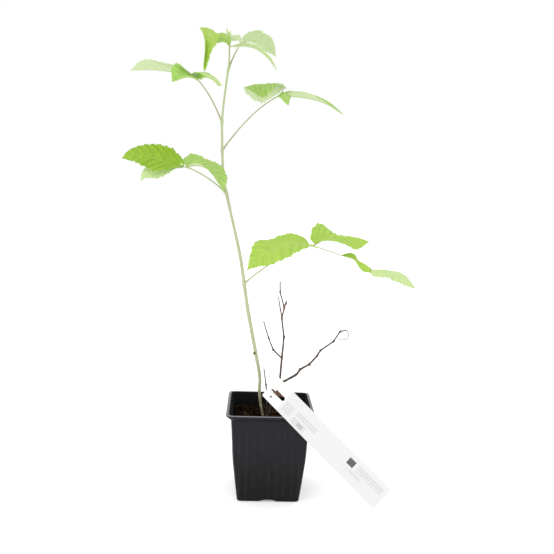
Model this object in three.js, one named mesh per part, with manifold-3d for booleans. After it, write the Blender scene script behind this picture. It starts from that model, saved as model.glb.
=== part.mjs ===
// Young raspberry plant in a square nursery pot, in millimetres, +Z up.
// The origin is at the middle of the pot's underside. +X is the viewer's right and -Y faces the viewer.
// A green cane carries leaves of a few toothed leaflets, and a dead cane beside it carries bare twigs
// and a white label that hangs on them by its slot.

import * as THREE from "three";
import { mergeVertices } from "three/addons/utils/BufferGeometryUtils.js";
import Module from "manifold-3d";

const wasm = await Module();
wasm.setup();

const GAP = 0.3; // clearance between neighbouring pieces
const UP = new THREE.Vector3(0, 0, 1);
const radians = THREE.MathUtils.degToRad;

// Pot: half widths of the square at the heights that shape its side
const POT = {
  height: 93.6,
  rimHalf: 45,
  baseHalf: 32.2,
  bellyHalf: 37.6,
  bellyHeight: 45,
  neckHalf: 40,
  neckHeight: 87.4,
  wall: 1.1,
  floor: 3.6,
  footBevel: 1.5,
  lipWidth: 2.8,
  lipBevel: 0.6,
  squareness: 18, // exponent of the rounded square: higher is sharper
  crowding: 0.2, // how far its edges draw together at the corners
  sides: 40,
};
const DRAIN = { channelWidth: 18, channelHeight: 2.4, channelReach: 15, holeRadius: 3.2, holeInset: 7 };

// Compost in the pot
const SOIL = {
  level: 80,
  edgeDrop: 4,
  lump: 1.6,
  heapSize: 3,
  clodSize: 1.3,
  rings: [0.97, 0.78, 0.56, 0.32],
  bareRadius: 10,
};

// Live cane: from below the compost, where it is cut off level, up to the growing tip
const CANE = {
  bends: [
    [-6, 0, 76],
    [-10, 0.4, 93],
    [-11.6, 0.5, 107],
    [-11.6, 0.4, 121],
    [-17.2, 0, 150],
    [-26.4, -0.6, 194],
    [-36, -1, 250],
    [-48.6, -0.6, 301],
    [-54.9, 0, 329],
    [-57.4, 0.4, 366],
    [-57.8, 0.4, 388],
    [-54.6, 0.2, 422],
    [-52.3, 0, 442],
    [-52.3, 0, 454],
  ],
  footRadius: 2.25,
  tipRadius: 0.8,
  taperPower: 1.1,
  footPinch: 0.6, // the share by which it is thinner just above the compost
  pinchHeight: 38,
  flare: 0.2,
  flareHeight: 4,
  knuckle: 0.5, // swelling at each leaf
  knuckleHeight: 3,
  sides: 8,
  steps: 40,
};

// Dead cane with a short side shoot, a bud, and the stub on which the label hangs
const OLD_CANE = {
  bends: [
    [-2.6, -10, 76],
    [0.5, -17, 97.5],
    [4.6, -22, 108],
    [8, -25, 122.5],
    [9.6, -24, 149],
    [10.9, -23.2, 170],
    [8.4, -22, 189],
    [10.2, -21, 200],
    [6.1, -20, 215],
    [5.4, -19, 226.5],
  ],
  rootRadius: 1.7,
  tipRadius: 0.55,
  steps: 40,
};
const OLD_SHOOT = {
  bends: [
    [8.6, -22, 189],
    [6.4, -24.5, 199],
    [4, -26, 211.6],
  ],
  rootRadius: 0.7,
  tipRadius: 0.45,
  steps: 5,
};
const OLD_BUD = {
  bends: [
    [10, -21, 200.5],
    [11.8, -18.5, 203.5],
    [12.6, -17, 206.4],
  ],
  rootRadius: 0.85,
  tipRadius: 0.6,
  steps: 3,
};
const LABEL_STUB = {
  bends: [
    [5.6, -22.3, 112],
    [10.5, -31, 111.5],
    [7.6, -37.2, 114.6],
    [0.2, -39.2, 120.4],
  ],
  rootRadius: 1.3,
  tipRadius: 0.9,
  steps: 9,
};

// Dead twigs off that cane, one with a thin curl at its end, and a dry stalk that stands by itself
const OLD_CURL = {
  bends: [
    [68.5, -41.5, 181.8],
    [71.6, -42, 182.6],
    [74.1, -40.8, 177.9],
    [72.4, -39.4, 173.6],
    [68, -38.4, 172.2],
    [63.2, -37, 173.3],
  ],
  rootRadius: 0.42,
  tipRadius: 0.34,
  steps: 20,
};
const OLD_TWIGS = [
  {
    name: "old_twig_right",
    bends: [
      [8.2, -25, 122.6],
      [24, -29, 133.1],
      [28.7, -30.5, 139.6],
      [37, -32.5, 145.5],
      [43.6, -34.5, 153.8],
      [47.5, -36, 160.6],
      [58.9, -39, 170.4],
      [65.2, -41, 180.6],
      [71, -42, 182.7],
    ],
    rootRadius: 1.4,
    tipRadius: 0.6,
    steps: 32,
    ends: [OLD_CURL],
  },
  {
    name: "old_twig_left",
    bends: [
      [9.6, -24, 149],
      [1.1, -22.3, 156.7],
      [-4.4, -20.2, 168.8],
      [-9.9, -17, 184.9],
    ],
    rootRadius: 0.9,
    tipRadius: 0.5,
    steps: 16,
    ends: [],
  },
];
const DRY_STALK = {
  bends: [
    [-4.4, -20, 76],
    [-3.6, -17.5, 100],
    [-5.3, -16, 118],
    [-8, -17, 135.5],
  ],
  rootRadius: 1,
  tipRadius: 0.6,
  steps: 12,
};
const OLD_WOOD = {
  tension: 0.28, // lower is more angular at the bends
  taperPower: 0.6, // lower is thinner sooner
  knuckle: 0.24, // swelling at a bend, as a share of the radius there
  knuckleHeight: 1.7,
  sides: 6,
};

// Label: a stiff white strip that hangs by its slot, leans over the front of the rim and
// sticks out below it
const LABEL = {
  head: [-1.3, -33, 122],
  foot: [104.3, -92, 33.3],
  across: [0.7, 0.1, 0.7],
  width: 24.5,
  thickness: 0.6,
  bow: 1.5,
  steps: 10,
  slotStart: 3,
  slotLength: 17,
  slotWidth: 4.2,
  holeRadius: 1,
  holeAlong: 7.7,
  holeAside: -7,
};

// Leaflet blade: a thin box of rows and columns drawn into an egg-shaped, toothed, pleated leaf
const BLADE = {
  rows: 10,
  columns: 4,
  smallWidth: 15, // a narrower blade has half as many rows and columns
  thickness: 0.85,
  narrowest: 0.5,
  rootPower: 0.46, // a lower power is a blunter end
  tooth: 0.08, // how far a tooth stands out, as a share of the half width
  pleat: 0.014, // depth of a pleat as a share of the width
  sweepRoot: -0.05, // how far the rows run back at the root and forward at the tip
  sweepTip: 0.14,
};
const LOWER_FACE = 5; // the place of a box's lower face among its six

// Stalk of a leaf and the short stems of its leaflets, which end sunk in their blades
const STALK = { rootRadius: 1.1, endRadius: 0.75, sides: 6, steps: 8, knobRadius: 1.2 };
const STEM = { rootRadius: 0.7, endRadius: 0.55, sink: 2.5, sides: 5, steps: 3 };
const TIP_GAP = 1.4 * GAP; // the growing tip's stalk is not quite square to the cane's end

// Leaves. A heading is in degrees about +Z from +X, so that -90 faces the viewer, and a pitch
// is above level. A stalk leaves the cane at height `at`, runs `reach` level and `rise` up, and
// bows `arch` above its chord.
// Each leaflet has a stem from the stalk's end and a blade whose chord has a length, heading and pitch.
// A stem with `onward` starts that share along the blade before it, where one leaflet has two lobes.
// bend is how far the midrib turns down from root to tip, hook puts more of that near the tip, and sway
// bows the midrib's middle to its left.
// A higher point draws the blade's outline out more at its tip.
// roll turns the blade about its chord and twist adds to that along it.
// cup lifts the blade's left half, right half and both halves at the tip out of its plane, and wave
// lifts the left and right half near the root and drops it as far near the tip.
const LEAVES = [
  {
    name: "leaf_low_right",
    stalk: { at: 221, heading: -24, reach: 71.2, rise: 43.8, arch: 5 },
    leaflets: [
      {
        stem: { length: 31.3, heading: -15, pitch: -16 },
        chord: { length: 38, heading: 2, pitch: -26 },
        midrib: { bend: 33, hook: 4.1, sway: 5.3 },
        shape: { width: 17.3, point: 0.65, roll: 16, twist: 19, cup: [-26, 6, -38], wave: [43, 24] },
      },
      {
        stem: { onward: 0.85, length: 3.4, heading: -70, pitch: -51 },
        chord: { length: 48, heading: 1, pitch: -20 },
        midrib: { bend: 61, hook: 0.9, sway: 4.1 },
        shape: { width: 24.2, point: 0.86, roll: 33, twist: -14, cup: [-29, -26, -14], wave: [-13, 16] },
      },
      {
        stem: { length: 2, heading: -148, pitch: -9 },
        chord: { length: 75, heading: -148, pitch: -18 },
        midrib: { bend: 70, hook: 0.7, sway: -2.5 },
        shape: { width: 57, point: 1.07, roll: -20, twist: 19, cup: [6, 21, -13], wave: [9, -21] },
      },
      {
        stem: { length: 4.5, heading: 12, pitch: 2 },
        chord: { length: 57, heading: 12, pitch: 4 },
        midrib: { bend: 63, hook: 0.6, sway: 5.4 },
        shape: { width: 61, point: 1.07, roll: 21, twist: -9, cup: [10, 35, -54], wave: [11, -1] },
      },
    ],
  },
  {
    name: "leaf_middle_left",
    stalk: { at: 313, heading: -151, reach: 44.8, rise: 23.8, arch: 3 },
    leaflets: [
      {
        stem: { length: 3, heading: -174, pitch: 3 },
        chord: { length: 58, heading: -174, pitch: 5 },
        midrib: { bend: 71, hook: 4.6, sway: 3.7 },
        shape: { width: 44, point: 1.05, roll: -21, twist: -41, cup: [28, 21, -17], wave: [-13, 2] },
      },
      {
        stem: { length: 1.5, heading: -141, pitch: -9 },
        chord: { length: 50, heading: -141, pitch: -19 },
        midrib: { bend: 70, hook: 4.8, sway: -5.3 },
        shape: { width: 26, point: 1.11, roll: -6, twist: -28, cup: [0, 40, -39], wave: [19, -5] },
      },
      {
        stem: { length: 1.5, heading: -3, pitch: -16 },
        chord: { length: 43, heading: -3, pitch: -33 },
        midrib: { bend: 112, hook: 0.6, sway: -7.5 },
        shape: { width: 45, point: 1.15, roll: -14, twist: 23, cup: [67, -6, -5], wave: [-18, -1] },
      },
    ],
  },
  {
    name: "leaf_upper_right",
    stalk: { at: 356, heading: 22, reach: 62.6, rise: 61.3, arch: 7 },
    leaflets: [
      {
        stem: { length: 3, heading: 6, pitch: -7 },
        chord: { length: 67, heading: 6, pitch: -14 },
        midrib: { bend: 37, hook: 1.6, sway: -3.2 },
        shape: { width: 34, point: 0.72, roll: 4, twist: 15, cup: [31, 15, -5], wave: [-3, 3] },
      },
      {
        stem: { length: 8.8, heading: 0, pitch: 70 },
        chord: { length: 44, heading: -159, pitch: -7 },
        midrib: { bend: 46, hook: 1.3, sway: -3.5 },
        shape: { width: 54, point: 0.72, roll: -1, twist: 3, cup: [-24, -31, -35], wave: [18, -7] },
      },
      {
        stem: { length: 1.5, heading: -78, pitch: -13 },
        chord: { length: 35, heading: -78, pitch: -26 },
        midrib: { bend: 93, hook: 1.2, sway: -0.8 },
        shape: { width: 18, point: 0.96, roll: 9, twist: -11, cup: [-32, -29, -29], wave: [6, -14] },
      },
    ],
  },
  {
    name: "leaf_upper_left",
    stalk: { at: 384, heading: 153, reach: 32.2, rise: 45.2, arch: 5 },
    leaflets: [
      {
        stem: { length: 3, heading: 168, pitch: 3 },
        chord: { length: 68, heading: 168, pitch: 6 },
        midrib: { bend: 40, hook: 0.6, sway: -0.2 },
        shape: { width: 64, point: 1.06, roll: 6, twist: -18, cup: [5, 6, 14], wave: [-7, 1] },
      },
      {
        stem: { length: 1.5, heading: -116, pitch: -8 },
        chord: { length: 43, heading: -116, pitch: -16 },
        midrib: { bend: 38, hook: 1.2, sway: -2.2 },
        shape: { width: 27, point: 0.81, roll: -24, twist: -20, cup: [6, 11, 37], wave: [-4, 7] },
      },
      {
        stem: { length: 1.5, heading: -41, pitch: -9 },
        chord: { length: 37, heading: -41, pitch: -17 },
        midrib: { bend: 88, hook: 1.2, sway: -1.3 },
        shape: { width: 29, point: 0.77, roll: 7, twist: -43, cup: [5, 0, -43], wave: [-7, 1] },
      },
      {
        stem: { length: 1.5, heading: -53, pitch: 0 },
        chord: { length: 26, heading: -55, pitch: 1 },
        midrib: { bend: 47, hook: 0.6, sway: -0.2 },
        shape: { width: 7, point: 0.76, roll: 85, twist: 37, cup: [15, 10, 10], wave: [-6, 19] },
      },
    ],
  },
  {
    name: "leaf_top_right",
    stalk: { at: 436, heading: 57, reach: 21.4, rise: 31, arch: 2 },
    leaflets: [
      {
        stem: { length: 1.5, heading: 23, pitch: -7 },
        chord: { length: 39, heading: 23, pitch: -14 },
        midrib: { bend: 92, hook: 0.7, sway: -2.5 },
        shape: { width: 30, point: 1.15, roll: -10, twist: 6, cup: [6, 36, 1], wave: [10, -12] },
      },
      {
        stem: { length: 1, heading: 171, pitch: 11 },
        chord: { length: 13, heading: 171, pitch: 23 },
        midrib: { bend: 101, hook: 2.1, sway: 0.7 },
        shape: { width: 10, point: 0.61, roll: 62, twist: 23, cup: [42, 60, 47], wave: [-18, 20] },
      },
    ],
  },
  {
    name: "shoot_top",
    stalk: { heading: -107, reach: 0.3, rise: 4.8, arch: 0 },
    leaflets: [
      {
        stem: { length: 18, heading: -157, pitch: 34 },
        chord: { length: 53, heading: -104, pitch: -54 },
        midrib: { bend: 112, hook: 2.5, sway: -8.4 },
        shape: { width: 21, point: 0.79, roll: -37, twist: -23, cup: [19, 16, 45], wave: [-34, -19] },
      },
      {
        stem: { length: 1.7, heading: -90, pitch: 45 },
        chord: { length: 15, heading: 168, pitch: 18 },
        midrib: { bend: 98, hook: 1.7, sway: -0.5 },
        shape: { width: 11.5, point: 0.69, roll: -63, twist: -25, cup: [37, 25, -2], wave: [16, -7] },
      },
      {
        stem: { length: 4.9, heading: -57, pitch: -14 },
        chord: { length: 53, heading: -20, pitch: -28 },
        midrib: { bend: 89, hook: 1.4, sway: -2.9 },
        shape: { width: 26, point: 0.94, roll: 6, twist: -32, cup: [-2, -27, -7], wave: [3, 8] },
      },
      {
        stem: { length: 1, heading: 120, pitch: 75 },
        chord: { length: 17, heading: 150, pitch: 74 },
        midrib: { bend: 12, hook: 1, sway: 0 },
        shape: { width: 6, point: 0.92, roll: 0, twist: 0, cup: [48, 48, 40], wave: [0, 0] },
      },
      {
        stem: { length: 1, heading: 0, pitch: 75 },
        chord: { length: 14, heading: 60, pitch: 84 },
        midrib: { bend: 10, hook: 1, sway: 0 },
        shape: { width: 5, point: 0.92, roll: 0, twist: 0, cup: [48, 48, 40], wave: [0, 0] },
      },
    ],
  },
];

// Material finishes
function finish(color, roughness) {
  return new THREE.MeshStandardMaterial({ color, roughness, metalness: 0 });
}

const FINISH = {
  pot: finish(0x2b2b2e, 0.55),
  soil: finish(0x1d140e, 0.95),
  cane: finish(0xa9bd6c, 0.6),
  leaf: finish(0x9ccb45, 0.6),
  wood: finish(0x5a4038, 0.85),
  label: finish(0xf4f4f2, 0.5),
};

// A closed mesh's geometry as a solid, and a solid back as a geometry
function solidOf(geometry) {
  const bare = geometry.clone();
  bare.deleteAttribute("normal");
  bare.deleteAttribute("uv");
  const merged = mergeVertices(bare, 1e-4);
  return new wasm.Manifold(
    new wasm.Mesh({
      numProp: 3,
      vertProperties: new Float32Array(merged.attributes.position.array),
      triVerts: new Uint32Array(merged.index.array),
    }),
  );
}

function geometryOf(solid) {
  const { vertProperties, triVerts } = solid.getMesh();
  return new THREE.BufferGeometry()
    .setAttribute("position", new THREE.BufferAttribute(vertProperties, 3))
    .setIndex(new THREE.BufferAttribute(triVerts, 1));
}

function node(name, geometry, material) {
  const mesh = new THREE.Mesh(geometry, material);
  mesh.name = name;
  return mesh;
}

// Moves every vertex of a geometry by a function of its place
function reshape(geometry, place) {
  const points = geometry.attributes.position;
  const at = new THREE.Vector3();
  for (let i = 0; i < points.count; i += 1) {
    at.fromBufferAttribute(points, i);
    place(at);
    points.setXYZ(i, at.x, at.y, at.z);
  }
  return geometry;
}

// A smooth repeatable value from -1 to 1 for a place on the compost: broad heaps and finer clods
function lumpAt(x, y) {
  const heaps = Math.sin(x / SOIL.heapSize + 1.3) * Math.sin(y / SOIL.heapSize + 0.4);
  const clods = Math.sin((x - y) / SOIL.clodSize);
  return 0.6 * heaps + 0.4 * clods;
}

// A lathe profile of [half width, height] turned into a rounded square
function squareLathe(profile) {
  const points = profile.map(([half, z]) => new THREE.Vector2(half, z));
  const turned = new THREE.LatheGeometry(points, POT.sides).rotateX(Math.PI / 2);
  return reshape(turned, (at) => {
    const radius = Math.hypot(at.x, at.y);
    const turn = Math.atan2(at.y, at.x);
    const crowded = turn + POT.crowding * Math.sin(4 * turn);
    const [cos, sin] = [Math.cos(crowded), Math.sin(crowded)];
    const norm = Math.abs(cos) ** POT.squareness + Math.abs(sin) ** POT.squareness;
    const reach = radius * norm ** (-1 / POT.squareness);
    at.x = reach * cos;
    at.y = reach * sin;
  });
}

// Pot: tapered wall with a flared lip, four drain channels under its edges and a hole in each
function potOuterHalf(z) {
  const { baseHalf, bellyHalf, bellyHeight, neckHalf, neckHeight } = POT;
  if (z < bellyHeight) return baseHalf + ((bellyHalf - baseHalf) * z) / bellyHeight;
  return bellyHalf + ((neckHalf - bellyHalf) * (z - bellyHeight)) / (neckHeight - bellyHeight);
}

function makePot() {
  const { height, rimHalf, baseHalf, bellyHeight, neckHeight, wall, floor } = POT;
  const { footBevel, lipWidth, lipBevel } = POT;
  const rimInner = rimHalf - lipWidth;
  const profile = [
    [0, 0],
    [baseHalf - footBevel, 0],
    [potOuterHalf(footBevel), footBevel],
    [potOuterHalf(bellyHeight), bellyHeight],
    [potOuterHalf(neckHeight), neckHeight],
    [rimHalf - lipBevel, height - 3 * lipBevel],
    [rimHalf, height - lipBevel],
    [rimHalf - lipBevel, height],
    [rimInner, height],
    [rimInner - lipBevel, height - lipBevel],
    [potOuterHalf(neckHeight) - wall, neckHeight],
    [potOuterHalf(bellyHeight) - wall, bellyHeight],
    [potOuterHalf(floor) - wall, floor],
    [0, floor],
  ];
  let pot = solidOf(squareLathe(profile));
  for (let side = 0; side < 4; side += 1) {
    const channel = new THREE.SphereGeometry(1, 14, 8);
    channel.scale(DRAIN.channelWidth / 2, DRAIN.channelReach, DRAIN.channelHeight);
    channel.translate(0, -baseHalf, 0);
    const hole = new THREE.CylinderGeometry(DRAIN.holeRadius, DRAIN.holeRadius, 4 * floor, 12);
    hole.rotateX(Math.PI / 2);
    hole.translate(0, -baseHalf + DRAIN.holeInset, 0);
    for (const cut of [channel, hole]) {
      cut.rotateZ((side * Math.PI) / 2);
      pot = pot.subtract(solidOf(cut));
    }
  }
  return node("pot", geometryOf(pot), FINISH.pot);
}

// Compost that fills the pot to just below its neck, level where a stem stands on it
const STEM_FEET = [CANE, OLD_CANE, DRY_STALK].map(({ bends }) => bends[0]);

function soilHeight(x, y) {
  const away = Math.min(...STEM_FEET.map(([fx, fy]) => Math.hypot(x - fx, y - fy)));
  const bare = THREE.MathUtils.smoothstep(away, SOIL.bareRadius, 2 * SOIL.bareRadius);
  return SOIL.level + SOIL.lump * bare * lumpAt(x, y);
}

function makeSoil() {
  const innerHalf = (z) => potOuterHalf(z) - POT.wall - GAP;
  const top = innerHalf(SOIL.level);
  const bottom = POT.floor + GAP;
  const profile = [
    [0, bottom],
    [innerHalf(bottom), bottom],
    [innerHalf(POT.bellyHeight), POT.bellyHeight],
    [innerHalf(SOIL.level - SOIL.edgeDrop), SOIL.level - SOIL.edgeDrop],
    ...SOIL.rings.map((share) => [share * top, SOIL.level]),
    [0, SOIL.level],
  ];
  const soil = reshape(squareLathe(profile), (at) => {
    if (at.z > SOIL.level - SOIL.edgeDrop / 2) at.z = soilHeight(at.x, at.y);
  });
  return node("soil", geometryOf(solidOf(soil)), FINISH.soil);
}

// A tapering limb: a capped cylinder bent along a curve, radius given by the share of its length
function limb(curve, radiusAt, sides, steps) {
  const tube = new THREE.CylinderGeometry(1, 1, 1, sides, steps);
  const frames = curve.computeFrenetFrames(steps);
  const centre = new THREE.Vector3();
  return reshape(tube, (at) => {
    const share = at.y + 0.5;
    const step = Math.round(share * steps);
    curve.getPointAt(Math.min(1, Math.max(0, share)), centre);
    const [across, above] = [at.x * radiusAt(share), at.z * radiusAt(share)];
    at.copy(centre);
    at.addScaledVector(frames.binormals[step], across);
    at.addScaledVector(frames.normals[step], above);
  });
}

function curveThrough(bends, kind, tension) {
  const points = bends.map((bend) => new THREE.Vector3(...bend));
  return new THREE.CatmullRomCurve3(points, false, kind, tension);
}

// Everything above the compost, for stems that are drawn from below it
function aboveSoil(solid) {
  return solid.trimByPlane([0, 0, 1], SOIL.level + GAP);
}

// Live cane, thinner towards its flared foot and its tip, and swollen a little where each leaf leaves it
const caneCurve = curveThrough(CANE.bends, "centripetal");
const caneLength = caneCurve.getLength();

function caneShareAt(height) {
  let low = 0;
  let high = 1;
  while (high - low > 1e-5) {
    const middle = (low + high) / 2;
    if (caneCurve.getPointAt(middle).z < height) low = middle;
    else high = middle;
  }
  return low;
}

const leafShares = LEAVES.filter(({ stalk }) => stalk.at).map(({ stalk }) => caneShareAt(stalk.at));
const footShare = caneShareAt(SOIL.level);

function caneRadius(share) {
  const taper = THREE.MathUtils.lerp(CANE.footRadius, CANE.tipRadius, Math.max(0, share) ** CANE.taperPower);
  const aboveFoot = Math.max(0, share - footShare) * caneLength;
  const pinch = CANE.footPinch * Math.exp(-aboveFoot / CANE.pinchHeight);
  const flare = CANE.flare * Math.exp(-aboveFoot / CANE.flareHeight);
  const knuckles = leafShares.map((at) => {
    const away = ((share - at) * caneLength) / CANE.knuckleHeight;
    return CANE.knuckle * Math.exp(-(away ** 2));
  });
  return taper * (1 - pinch) + flare + Math.max(...knuckles);
}

function caneSolid(clearance) {
  return solidOf(limb(caneCurve, (share) => caneRadius(share) + clearance, CANE.sides, CANE.steps));
}

function makeCane() {
  return node("cane", geometryOf(aboveSoil(caneSolid(0))), FINISH.cane);
}

// Dead wood: each limb tapers and is knotted at its bends, where its buds were
function oldSolid({ bends, rootRadius, tipRadius, steps }, clearance = 0) {
  const curve = curveThrough(bends, "catmullrom", OLD_WOOD.tension);
  const fine = 40;
  const lengths = curve.getLengths(fine * (bends.length - 1));
  const length = lengths[lengths.length - 1];
  const knots = bends.slice(1, -1).map((_, i) => lengths[fine * (i + 1)]);
  const radiusAt = (share) => {
    const away = knots.map((knot) => (share * length - knot) / OLD_WOOD.knuckleHeight);
    const swell = away.map((heights) => Math.exp(-(heights ** 2)));
    const taper = THREE.MathUtils.lerp(rootRadius, tipRadius, Math.max(0, share) ** OLD_WOOD.taperPower);
    return taper * (1 + OLD_WOOD.knuckle * Math.max(0, ...swell)) + clearance;
  };
  return solidOf(limb(curve, radiusAt, OLD_WOOD.sides, steps));
}

function makeOldCane() {
  const shoots = [OLD_SHOOT, OLD_BUD, LABEL_STUB].map((shoot) => oldSolid(shoot));
  const cane = shoots.reduce((wood, shoot) => wood.add(shoot), oldSolid(OLD_CANE));
  return node("old_cane", geometryOf(aboveSoil(cane)), FINISH.wood);
}

function makeOldTwig(twig) {
  const wood = twig.ends.reduce((grown, end) => grown.add(oldSolid(end)), oldSolid(twig));
  return node(twig.name, geometryOf(wood.subtract(oldSolid(OLD_CANE, GAP))), FINISH.wood);
}

function makeDryStalk() {
  return node("dry_stalk", geometryOf(aboveSoil(oldSolid(DRY_STALK))), FINISH.wood);
}

// Label: a thin strip, bowed a little along its length, with a slot and a punched hole near its head
function makeLabel() {
  const { width, thickness, bow, slotStart, slotLength, slotWidth } = LABEL;
  const { holeRadius, holeAlong, holeAside } = LABEL;
  const head = new THREE.Vector3(...LABEL.head);
  const run = new THREE.Vector3(...LABEL.foot).sub(head);
  const length = run.length();
  const along = run.normalize();
  const across = new THREE.Vector3(...LABEL.across).projectOnPlane(along).normalize();
  const axes = new THREE.Matrix4().makeBasis(along, across, along.clone().cross(across));
  const strip = new THREE.BoxGeometry(length, width, thickness, LABEL.steps, 1, 1);
  strip.translate(length / 2, 0, 0);
  reshape(strip, (at) => {
    at.z += bow * Math.sin((Math.PI * at.x) / length) ** 2;
  });
  const slot = new THREE.CapsuleGeometry(slotWidth / 2, slotLength - slotWidth, 4, 12);
  slot.rotateZ(Math.PI / 2).translate(slotStart + slotLength / 2, 0, 0);
  const hole = new THREE.CylinderGeometry(holeRadius, holeRadius, 4 * thickness, 10);
  hole.rotateX(Math.PI / 2).translate(holeAlong, holeAside, 0);
  const label = geometryOf(solidOf(strip).subtract(solidOf(slot)).subtract(solidOf(hole)));
  label.applyMatrix4(axes.setPosition(head));
  return node("label", label, FINISH.label);
}

// A unit direction from its heading and pitch
function direction({ heading, pitch = 0 }) {
  const [turn, climb] = [radians(heading), radians(pitch)];
  const level = Math.cos(climb);
  return new THREE.Vector3(level * Math.cos(turn), level * Math.sin(turn), Math.sin(climb));
}

// Half width of the blade as a share of its widest, root 0 to tip 1
function bladeShare(s, point) {
  const { rootPower } = BLADE;
  const widest = rootPower / (rootPower + point);
  const peak = widest ** rootPower * (1 - widest) ** point;
  return (s ** rootPower * (1 - s) ** point) / peak;
}

// Midrib of a blade, root 0 to tip 1: along its chord, above it and to the left of it
function midribOf(length, { bend, hook, sway }) {
  const steps = 40;
  const raw = [[0, 0]];
  const turnAt = (s) => -radians(bend) * s ** hook;
  for (let i = 0; i < steps; i += 1) {
    const turn = turnAt((i + 0.5) / steps);
    raw.push([raw[i][0] + Math.cos(turn) / steps, raw[i][1] + Math.sin(turn) / steps]);
  }
  const [endX, endY] = raw[steps];
  const scale = length / Math.hypot(endX, endY);
  const lift = -Math.atan2(endY, endX);
  return (s) => {
    const within = THREE.MathUtils.clamp(s, 0, 1);
    const i = Math.min(steps - 1, Math.floor(within * steps));
    const x = THREE.MathUtils.lerp(raw[i][0], raw[i + 1][0], s * steps - i);
    const y = THREE.MathUtils.lerp(raw[i][1], raw[i + 1][1], s * steps - i);
    return {
      along: scale * (x * Math.cos(lift) - y * Math.sin(lift)),
      above: scale * (x * Math.sin(lift) + y * Math.cos(lift)),
      left: 4 * sway * within * (1 - within),
      turn: lift + turnAt(within),
    };
  };
}

// The blade's own axes: along its chord, to its left, and up out of its face
function bladeAxes(chord, roll) {
  const along = direction(chord);
  const face = UP.clone().projectOnPlane(along).normalize().applyAxisAngle(along, radians(roll));
  return new THREE.Matrix4().makeBasis(along, face.clone().cross(along), face);
}

// A thin box of rows and columns, with its lower face split along the same diagonals as its upper one
function sheetBox(rows, columns) {
  const box = new THREE.BoxGeometry(1, 2, 1, rows, columns, 1);
  const corners = box.index.array;
  const { start, count } = box.groups[LOWER_FACE];
  for (let i = start; i < start + count; i += 6) {
    const [a, b, d, , c] = corners.slice(i, i + 6);
    corners.set([a, b, c, a, c, d], i);
  }
  return box;
}

function bladeSolid({ width, point, twist, cup, wave }, midrib, place) {
  const { thickness, narrowest, tooth, pleat, sweepRoot, sweepTip } = BLADE;
  const coarser = width < BLADE.smallWidth ? 2 : 1;
  const rows = BLADE.rows / coarser;
  const columns = BLADE.columns / coarser;
  const blade = reshape(sheetBox(rows, columns), (at) => {
    const s = THREE.MathUtils.clamp(at.x + 0.5, 0, 1);
    const [t, side] = [at.y, at.z];
    const outer = Math.abs(t);
    const row = Math.round(s * rows);
    const zigzag = row > 0 && row < rows ? 1 - 2 * (row % 2) : 0;
    const edge = outer > 0.99 ? 1 - tooth * zigzag : 1;
    const half = Math.max(narrowest, 0.5 * width * bladeShare(s, point) * edge);
    const sweep = row > 0 ? THREE.MathUtils.lerp(sweepRoot, sweepTip, Math.sqrt(s)) : 0;
    const rib = midrib(s + outer * (1 - s) * sweep);
    const hand = t > 0 ? 0 : 1;
    const fold = radians(THREE.MathUtils.lerp(cup[hand], cup[2], s) + wave[hand] * Math.sin(2 * Math.PI * s));
    const crease = pleat * width * zigzag * Math.sin(Math.PI * outer);
    const aside = t * half * Math.cos(fold);
    const raised = outer * half * Math.sin(fold) - crease + side * thickness;
    const turn = radians(twist * s);
    const beside = rib.left + aside * Math.cos(turn) - raised * Math.sin(turn);
    const lift = aside * Math.sin(turn) + raised * Math.cos(turn);
    at.set(rib.along - lift * Math.sin(rib.turn), beside, rib.above + lift * Math.cos(rib.turn));
    at.applyMatrix4(place);
  });
  return solidOf(blade);
}

// A leaf: its stalk springs from the cane, and its leaflets spread from the stalk's end
function leafSolid({ stalk, leaflets }) {
  const share = stalk.at ? caneShareAt(stalk.at) : 1;
  const joint = caneCurve.getPointAt(share);
  const foot = stalk.at ? joint.clone() : joint.clone().addScaledVector(UP, TIP_GAP);
  const end = joint.clone().addScaledVector(direction(stalk), stalk.reach);
  end.addScaledVector(UP, stalk.rise);
  const middle = foot.clone().add(end).multiplyScalar(0.5).addScaledVector(UP, 2 * stalk.arch);
  const stalkCurve = new THREE.QuadraticBezierCurve3(foot, middle, end);
  const widest = stalk.at ? STALK.rootRadius : CANE.tipRadius;
  const taper = (along) => THREE.MathUtils.lerp(STALK.endRadius, widest, (1 - along) ** 3);
  const stemTaper = (along) => THREE.MathUtils.lerp(STEM.rootRadius, STEM.endRadius, along);
  const knob = new THREE.IcosahedronGeometry(STALK.knobRadius).translate(...end);
  let leaf = solidOf(limb(stalkCurve, taper, STALK.sides, STALK.steps)).add(solidOf(knob));
  let onRib; // a point on the newest blade's midrib
  for (const leaflet of leaflets) {
    const { stem, chord, shape } = leaflet;
    const start = stem.onward ? onRib(stem.onward) : end;
    const root = start.clone().addScaledVector(direction(stem), stem.length);
    const midrib = midribOf(chord.length, leaflet.midrib);
    const place = bladeAxes(chord, shape.roll).setPosition(root);
    onRib = (s) => {
      const { along, left, above } = midrib(s);
      return new THREE.Vector3(along, left, above).applyMatrix4(place);
    };
    const stemCurve = new THREE.CatmullRomCurve3([start, root, onRib(STEM.sink / chord.length)]);
    const stemSolid = solidOf(limb(stemCurve, stemTaper, STEM.sides, STEM.steps));
    leaf = leaf.add(stemSolid).add(bladeSolid(shape, midrib, place));
  }
  return stalk.at ? leaf.subtract(caneSolid(GAP)) : leaf;
}

function makeLeaf(leaf) {
  return node(leaf.name, geometryOf(leafSolid(leaf)), FINISH.leaf);
}

const plant = new THREE.Group();
plant.name = "potted_raspberry";
plant.add(makePot(), makeSoil(), makeCane(), ...LEAVES.map(makeLeaf));
plant.add(makeOldCane(), ...OLD_TWIGS.map(makeOldTwig), makeDryStalk(), makeLabel());

export default plant;
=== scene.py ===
import math
import random

import bmesh
import bpy
import numpy as np
from mathutils import Matrix, Vector, geometry, noise


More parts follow.
